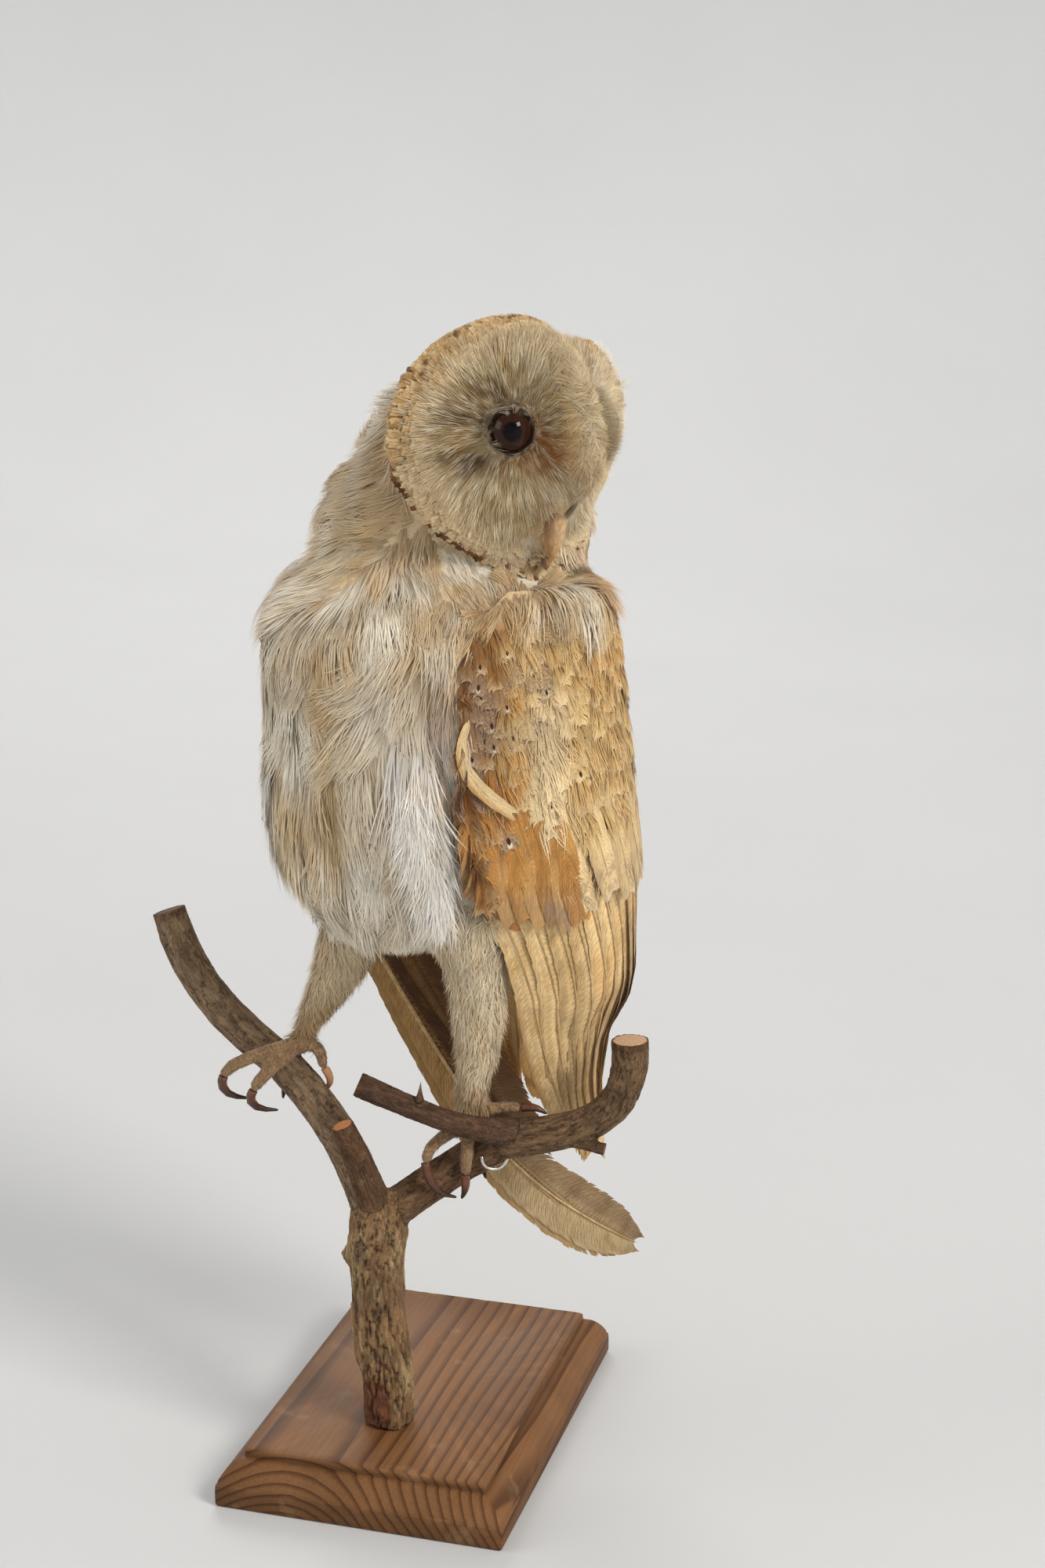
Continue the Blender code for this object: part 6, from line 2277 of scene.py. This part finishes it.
KNOTS = [  # x, y, z, width, height: swellings, scars and hollows in the bark
    (-14.5, 0.0, 95.4, 4.0, 2.6),
    (11.5, -3.0, 62.0, 3.2, 1.8),
    (8.5, -6.0, 98.0, 4.0, 1.2),
    (-13.0, -12.0, 147.0, 2.2, -1.8),
    (-77.3, 34.0, 177.7, 2.4, 1.6),
    (-62.0, 26.0, 186.0, 3.0, 0.8),
    (-24.0, 8.0, 152.0, 3.0, 0.9),
    (55.0, -8.0, 148.0, 4.0, 1.7),
    (49.0, -6.0, 138.0, 3.6, 1.9),
    (38.0, -2.0, 128.0, 2.6, 1.4),
    (63.0, -6.0, 140.0, 2.2, -1.5),
    (70.0, -5.0, 152.0, 2.8, 0.9),
    (90.0, -8.0, 168.0, 3.2, 1.1),
    (98.0, -6.0, 156.0, 3.0, 1.1),
    (85.6, -3.0, 184.0, 2.2, 2.4),
    (33.0, -12.0, 153.0, 2.0, 0.9),
    (5.0, -12.0, 163.0, 2.2, 0.8),
]


def bark_material():
    """Bark with fibres along the branch, grey dust and patches of lichen."""
    s = Shader("bark", 0.88, Specular_IOR_Level=0.25)
    lay = s.vector("lay")
    fibres = s.noise(s.times(lay, (1.0, 1.0, 0.45)), 1.6, 4.0, 0.65)
    grain = s.noise(lay, 0.55, 5.0, 0.7, 0.6)
    lichen = s.rise(s.noise(s.place(), 240.0, 3.0), 0.56, 0.68)
    colour = s.varied(s.tone(), grain, 0.6, 1.25, 0.32, 0.68)
    colour = s.varied(colour, fibres, 0.7, 1.2)
    colour = s.mix(s.product(lichen, 0.2), colour, (150, 130, 96))
    colour = s.varied(colour, s.noise(s.place(), 1400.0, 2.0), 0.85, 1.1, 0.35, 0.65)
    return s.finish(colour, s.sum(s.product(grain, 1.4), fibres), 0.9, 0.7)


def end_material():
    """Sawn ends: growth rings round the pith and fine cracks."""
    s = Shader("sawn wood", 0.8)
    x, y, _ = s.split(s.vector("lay"))
    waver = s.product(s.noise(s.place(), 500.0, 2.0), 1.2)
    rings = s.math("SINE", s.product(s.sum(s.length(x, y), waver), 6.5))
    colour = s.varied(s.tone(), rings, 0.8, 1.08, -1.0, 1.0)
    colour = s.varied(colour, s.noise(s.place(), 1700.0, 3.0), 0.82, 1.1, 0.35, 0.65)
    return s.finish(colour, rings, 0.25, 0.2)


def limb_places(points, lines):
    """Which limb each point of the branch belongs to, and where it lies on that limb.

    Returns the limb's number and, for the bark's pattern, two coordinates across the limb and one
    along it, which starts anew on each limb.
    """
    axis = np.vstack(lines)
    owner = np.repeat(np.arange(len(lines)), LINE_POINTS)
    tangents = np.vstack([unit(np.gradient(line[:, :3], axis=0)) for line in lines])
    runs = []
    for line in lines:
        length = np.linalg.norm(np.diff(line[:, :3], axis=0), axis=1).sum()
        runs.append(np.linspace(0, length, LINE_POINTS))
    best = []
    for block in np.array_split(points, math.ceil(len(points) / 4000)):
        gap = np.linalg.norm(block[:, None] - axis[None, :, :3], axis=2) - axis[None, :, 3]
        best.append(gap.argmin(1))
    best = np.concatenate(best)
    away, tangent = points - axis[best, :3], tangents[best]
    along = np.sum(away * tangent, 1)
    radial = away - along[:, None] * tangent
    reference = unit(np.cross(tangent, ASKEW))
    other = np.cross(tangent, reference)
    run = np.concatenate(runs)[best] + along
    across = [np.sum(radial * reference, 1), np.sum(radial * other, 1)]
    return owner[best], np.stack([*across, run * 0.28 + owner[best] * 40.0], 1)


def weather(points, quads, owner, lay):
    """Bark's relief on the branch, with cracks, flakes, knots and a chipped foot, and its tones."""
    trunk = (owner == 0) * step(116, 104, points[:, 2])
    rough = np.where(np.isin(owner, [list(LIMBS).index(name) for name in ROUGH_LIMBS]), 0.5, 0.3)
    rough = rough + 0.8 * trunk
    ridged = 1 - np.abs(2 * cloud(lay, 2.6, 81, 3) - 1)
    fissure = step(0.9, 0.985, ridged)
    plates = cloud(lay, 4.6, 83, 3)
    flake = step(0.49, 0.53, plates)
    height = 1.1 * (plates - 0.5) * rough - 1.1 * fissure * rough + 0.55 * flake * trunk
    height += 0.35 * (cloud(points, 1.4, 85) - 0.5)
    for x, y, z, width, rise in KNOTS:
        spot = blob(points, (x, y, z), width)
        height += rise * spot * (1 + 0.5 * (cloud(points, 1.1, 87) - 0.5))
    foot = points[:, 2] + 0.5 * points[:, 0] + 5 * (cloud(points, 6.0, 89) - 0.5)
    chipped = step(48.0, 36.0, foot) * step(0.0, -5.0, points[:, 0] + 0.4 * points[:, 1]) * trunk
    height -= 1.6 * chipped
    points = points + normals_at(points, quads) * height[:, None]
    shade = step(0.5, 0.75, cloud(points, 11.0, 91))
    return points, layered(
        relax(tint(list(LIMB_TONES.values()))[owner], quads, 10),
        ((176, 150, 110), 0.7 * flake * trunk),
        ((74, 56, 42), 0.85 * fissure),
        ((112, 62, 42), 0.85 * chipped),
        ((96, 74, 56), 0.5 * shade),
    )


def saw_off(name, line, points, tone):
    """Flattens a limb's end and gives the cut its tones. Returns which points lie on the cut."""
    end, radius = line[-1, :3], line[-1, 3]
    tangent = unit(end - line[-6, :3])
    from_end = points - end
    beyond = from_end @ tangent
    off = np.linalg.norm(from_end - beyond[:, None] * tangent, axis=1)
    flat = (beyond > -0.75) & (off < radius * 1.35) & (beyond < 4)
    points[flat] -= tangent * (beyond[flat] + 0.3)[:, None]
    face = flat & (off < radius * 0.9)
    tone[face] = tint(CUT_TONES[name])
    if name in DARK_CORES:
        outer = step(radius * 0.35, radius * 0.8, off[face])
        tone[face] = blend(tone[face], (66, 46, 34), 0.7 * outer)
    near_end = flat | ((beyond > -3.0) & (beyond < 2.0) & (off < radius * 1.4))
    ring = near_end & ~face
    tone[ring] = blend(tone[ring], (92, 62, 44), 0.6)
    return face


def make_branch():
    """The forked branch with its bark, knots and sawn ends, and a thorn."""
    nodes = [f"stand_{name}" for name in LIMBS]
    points, quads = fused(nodes, voxel=0.8, swell=0.3)
    points = relax(points, quads, 3)
    lines = [catmull(stations, LINE_POINTS) for stations in LIMBS.values()]
    owner, lay = limb_places(points, lines)
    points, tone = weather(points, quads, owner, lay)
    cut = np.zeros(len(points), bool)
    for name, line in zip(LIMBS, lines):
        if name in CUT_TONES:
            cut |= saw_off(name, line, points, tone)
    piece = mesh_object("branch", points, quads, bark_material(), {"tone": tone, "lay": lay})
    piece.data.materials.append(end_material())
    on_cut = cut[quads].sum(1) >= 3
    piece.data.polygons.foreach_set("material_index", on_cut.astype(np.int32))
    place(piece, "bark", *nodes)
    rows = catmull(THORN, 10)
    points, faces = loft(tube_rings(rows[:, :3], rows[:, 3], 10))
    attributes = {"tone": blend((96, 70, 54), (150, 126, 104), step(166, 172, points[:, 2])), "lay": points}
    place(mesh_object("thorn", points, faces, piece.data.materials[0], attributes), "bark")


WIRE_MIDDLE = np.array([43.3, -1.0, 136.5])
WIRE_BEND, WIRE_RADIUS = 5.0, 0.7


def make_wire():
    """The bent end of the wire that holds the left foot."""
    s = Shader("steel wire", 0.25, Metallic=1.0)
    wear = s.noise(s.place(), 900.0, 3.0)
    colour = s.mix(wear, (196, 194, 188), (232, 230, 224))
    steel = s.finish(colour, wear, 0.15, 0.1, s.rise(wear, 0.3, 0.7, 0.18, 0.42))
    angles = np.radians(np.linspace(-100, 100, 28))
    bend = np.stack([np.sin(angles), 0.25 * np.sin(angles), -np.cos(angles)], 1)
    rings = tube_rings(WIRE_MIDDLE + WIRE_BEND * bend, [WIRE_RADIUS] * len(angles), 12)
    place(mesh_object("foot_wire", *loft(rings), steel), "wire", "stand_foot_wire")


# ---------------------------------------------------------------- plinth


HALF_WIDTH, HALF_LENGTH, TOP = 59.0, 85.0, 21.8
SIDE_TOP, STEP_BOTTOM, STEP_INSET = 9.5, 18.2, 9.4
CORNER, CORNER_PULL = 0.7, 0.25  # how far from each corner, and how much, the edge is eased
PITH_X, PITH_Z = 0.030, 0.034  # metres from the row's origin to the log's middle


def wood_material():
    """Varnished pine cut from a log: its rings show as lines on top and as arcs on the end grain."""
    s = Shader("pine", 0.6, Coat_Weight=0.03, Coat_Roughness=0.4, Specular_IOR_Level=0.14)
    spot = s.place()
    warp = s.noise(s.times(spot, (9.0, 2.2, 14.0)), 1.0, 2.0)
    x, _, z = s.split(spot)
    x = s.sum(s.sum(x, PITH_X), s.product(s.math("SUBTRACT", warp, 0.5), 0.03))
    fine_warp = s.product(s.noise(s.times(spot, (60.0, 8.0, 60.0)), 1.0, 3.0), 0.0012)
    phase = s.math("FRACT", s.product(s.sum(s.length(x, s.sum(z, PITH_Z)), fine_warp), 270.0))
    late = s.product(s.rise(phase, 0.45, 0.92), s.rise(phase, 0.99, 0.93))
    fibres = s.noise(s.times(spot, (1500.0, 28.0, 1500.0)), 1.0, 3.0)
    blotch = s.noise(s.times(spot, (22.0, 9.0, 22.0)), 1.0, 3.0)
    scuffs = s.rise(s.noise(spot, 75.0, 4.0), 0.6, 0.72)
    colour = s.mix(late, (134, 94, 60), (96, 62, 37))
    colour = s.varied(s.varied(colour, blotch, 0.82, 1.12), fibres, 0.86, 1.08)
    colour = s.mix(1.0, colour, s.tone(), "MULTIPLY")
    colour = s.mix(s.product(scuffs, 0.12), colour, (206, 176, 140))
    height = s.sum(s.product(fibres, 0.5), s.product(late, -0.6))
    return s.finish(colour, height, 0.35, 0.25, s.rise(blotch, 0.3, 0.7, 0.45, 0.65))


def plinth_profile():
    """Inset and height from the foot up: eased side, ovolo and the raised top with its small step."""
    profile = [(1.6, 0.0), (0.5, 0.25), (0.05, 1.0), (0.0, 3.0)]
    profile += [(0.0, 6.0), (0.0, 8.6), (0.15, 9.2), (0.6, SIDE_TOP)]
    for angle in np.linspace(0.06, 1.0, 16) * math.pi / 2:
        inset = 0.6 + (STEP_INSET - 0.6) * (1 - math.cos(angle)) ** 0.8
        profile.append((inset, SIDE_TOP + (STEP_BOTTOM - SIDE_TOP) * math.sin(angle) ** 1.3))
    profile += [(STEP_INSET, 18.4), (STEP_INSET, 19.6), (9.42, 21.2), (9.6, 21.6)]
    return [*profile, (10.0, TOP), (14.0, TOP)]


def plinth_ring(inset, height):
    """A rectangle with many points on each side and corners that are eased a little."""
    x, y = HALF_WIDTH - inset, HALF_LENGTH - inset
    corners = [(x, -y), (x, y), (-x, y), (-x, -y)]
    ring = []
    for (ax, ay), (bx, by) in zip(corners, corners[1:] + corners[:1]):
        length = math.hypot(bx - ax, by - ay)
        eased = np.array([0.3 * CORNER, CORNER]) / length
        for share in (*eased, *np.linspace(0.04, 0.96, 30), *(1 - eased[::-1])):
            px, py = ax + (bx - ax) * share, ay + (by - ay) * share
            pull = CORNER_PULL * max(0.0, 1 - min(share, 1 - share) * length / CORNER)
            ring.append((px - pull * np.sign(px), py - pull * np.sign(py), height))
    return np.array(ring)


def make_plinth():
    """The moulded plinth, with worn edges, and painted shade that darkens its lower sides and the recess
    under the top.
    """
    points, faces = loft([plinth_ring(inset, height) for inset, height in plinth_profile()])
    height = points[:, 2]
    dents = cloud(points, 4.0, 95) - 0.5
    edge = step(1.0, 0.0, np.abs(height - 21.6)) + step(1.4, 0.0, np.abs(height - 9.3))
    points[:, :2] *= 1 - 0.004 * (edge * (dents > 0.12))[:, None]
    worn = 0.75 + 0.25 * cloud(points, 14.0, 97)
    # painted shade: darker on the lower sides and in the recess under the top
    shaded = worn * (1 - 0.28 * step(10.5, 8.0, height)) * (1 - 0.35 * band(18.2, 20.6, 0.4, height))
    tone = np.clip(shaded + 0.25 * edge * step(0.0, 0.25, dents), 0, 1.3)
    attributes = {"tone": np.stack([tone] * 3, 1)}
    piece = mesh_object("plinth", to_specimen(points * MM), faces, wood_material(), attributes)
    piece.data.set_sharp_from_angle(angle=math.radians(32))
    place(piece, "plinth_wood", "stand_plinth")


# ---------------------------------------------------------------- light, floor and camera


def make_stage():
    """A pale floor that curves up into a wall all round, and a soft even light from the world."""
    sides = 72
    s = Shader("floor", 0.85)
    soft = s.noise(s.place(), 3.0, 2.0)
    floor_paint = s.finish(s.mix(soft, (208, 210, 213), (215, 217, 220)), soft, 0.05, 0.3)
    rise = np.radians(np.linspace(0, 90, 13))
    profile = [(0.4 * k, 0.0) for k in range(1, 6)]
    profile += [(2.1 + 1.0 * math.sin(a), 1.0 - math.cos(a)) for a in rise] + [(3.1, 2.2), (3.1, 3.6)]
    turns = np.arange(sides) * 2 * math.pi / sides
    points = [(0.0, 0.0, 0.0)]
    for radius, height in profile:
        points += [(radius * math.sin(a), -radius * math.cos(a), height) for a in turns]
    pairs = [(k, (k + 1) % sides) for k in range(sides)]
    faces = [(0, 1 + k, 1 + after) for k, after in pairs]
    for ring in range(len(profile) - 1):
        a, b = 1 + ring * sides, 1 + (ring + 1) * sides
        faces += [(a + k, b + k, b + after, a + after) for k, after in pairs]
    mesh = bpy.data.meshes.new("floor")
    mesh.from_pydata(points, [], faces)
    mesh.polygons.foreach_set("use_smooth", [True] * len(faces))
    mesh.materials.append(floor_paint)
    floor = bpy.data.objects.new("floor", mesh)
    bpy.context.scene.collection.objects.link(floor)
    world = bpy.data.worlds.new("studio")
    world.use_nodes = True
    background = world.node_tree.nodes["Background"]
    background.inputs["Color"].default_value = (0.97, 0.95, 0.9, 1.0)
    background.inputs["Strength"].default_value = 0.38
    bpy.context.scene.world = world


def matrix_of(right, above, back, place):
    """The matrix of a lamp or camera from its axes and its place."""
    rows = [[right[k], above[k], back[k], place[k]] for k in range(3)]
    return Matrix([*rows, [0, 0, 0, 1]])


def add_lamp(name, where, aim, size, power, colour):
    """A soft rectangular lamp that faces aim. colour is in linear light."""
    data = bpy.data.lights.new(name, "AREA")
    data.shape = "RECTANGLE"
    data.size, data.size_y = size
    data.energy = power
    data.color = colour
    lamp = bpy.data.objects.new(name, data)
    bpy.context.scene.collection.objects.link(lamp)
    back = unit(np.array(where) - np.array(aim))
    right = unit(np.cross(UP, back))
    lamp.matrix_world = matrix_of(right, np.cross(back, right), back, where)


CAMERA_PLACE = (0.29617321, -0.89839253, 0.52404004)
CAMERA_PITCH, CAMERA_SIDE, CAMERA_ROLL = np.radians([14.6037, 15.7941, 0.22]).tolist()
CAMERA_LENS, CAMERA_SENSOR = 57.23, 36.0


def make_camera():
    """The photo's camera. Side, pitch and roll are angles about up, right and the view's axis."""
    right = np.array([math.cos(CAMERA_SIDE), math.sin(CAMERA_SIDE), 0.0])
    level = np.array([math.sin(CAMERA_SIDE), -math.cos(CAMERA_SIDE), 0.0])
    back = level * math.cos(CAMERA_PITCH) + UP * math.sin(CAMERA_PITCH)
    above = np.cross(back, right)
    tilted_right = right * math.cos(CAMERA_ROLL) + above * math.sin(CAMERA_ROLL)
    tilted_above = above * math.cos(CAMERA_ROLL) - right * math.sin(CAMERA_ROLL)
    data = bpy.data.cameras.new("camera")
    data.sensor_width = CAMERA_SENSOR
    data.lens = CAMERA_LENS
    data.clip_start = 0.02
    camera = bpy.data.objects.new("camera", data)
    bpy.context.scene.collection.objects.link(camera)
    camera.matrix_world = matrix_of(tilted_right, tilted_above, back, CAMERA_PLACE)
    bpy.context.scene.camera = camera


def light_scene():
    add_lamp("key", (2.3, -1.1, 2.2), (0.0, 0.0, 0.3), (1.0, 1.0), 64.0, (1.0, 0.95, 0.88))
    add_lamp("fill", (-2.4, -1.2, 1.4), (0.0, 0.0, 0.25), (1.6, 1.6), 20.0, (1.0, 0.97, 0.92))
    add_lamp("rim", (-0.9, 2.3, 2.0), (0.0, 0.0, 0.3), (1.6, 1.2), 30.0, (1.0, 0.96, 0.9))


def main():
    make_camera()
    make_stage()
    light_scene()
    bpy.context.scene.view_settings.view_transform = "Standard"
    surface = make_skin()
    plumage = plumage_material("plumage")
    small = plumage_material("small feathers", streak=0.25, strand_bands=46.0)
    silk = hair_material("silky feathers", 0.2)
    fur = hair_material("hair feathers")
    claw = horn_material("claw horn", 0.38)
    grow_body(surface, silk)
    grow_plume(surface, silk)
    grow_wing_coverts(surface, small, silk)
    grow_legs(surface, fur)
    grow_face(surface, fur)
    grow_brow(surface, fur)
    grow_veil(surface, fur)
    grow_crown(surface, small)
    grow_nape(surface, silk)
    grow_ruff(surface, small)
    grow_fluff(surface, fur)
    grow_bristles(surface, fur)
    grow_flights(plumage, small, claw)
    grow_tail(plumage, claw)
    grow_splayed(plumage, claw)
    make_eyes()
    make_bill(horn_material("bill horn", 0.42))
    make_claws(claw)
    make_branch()
    make_wire()
    make_plinth()
    bpy.context.view_layer.update()


main()
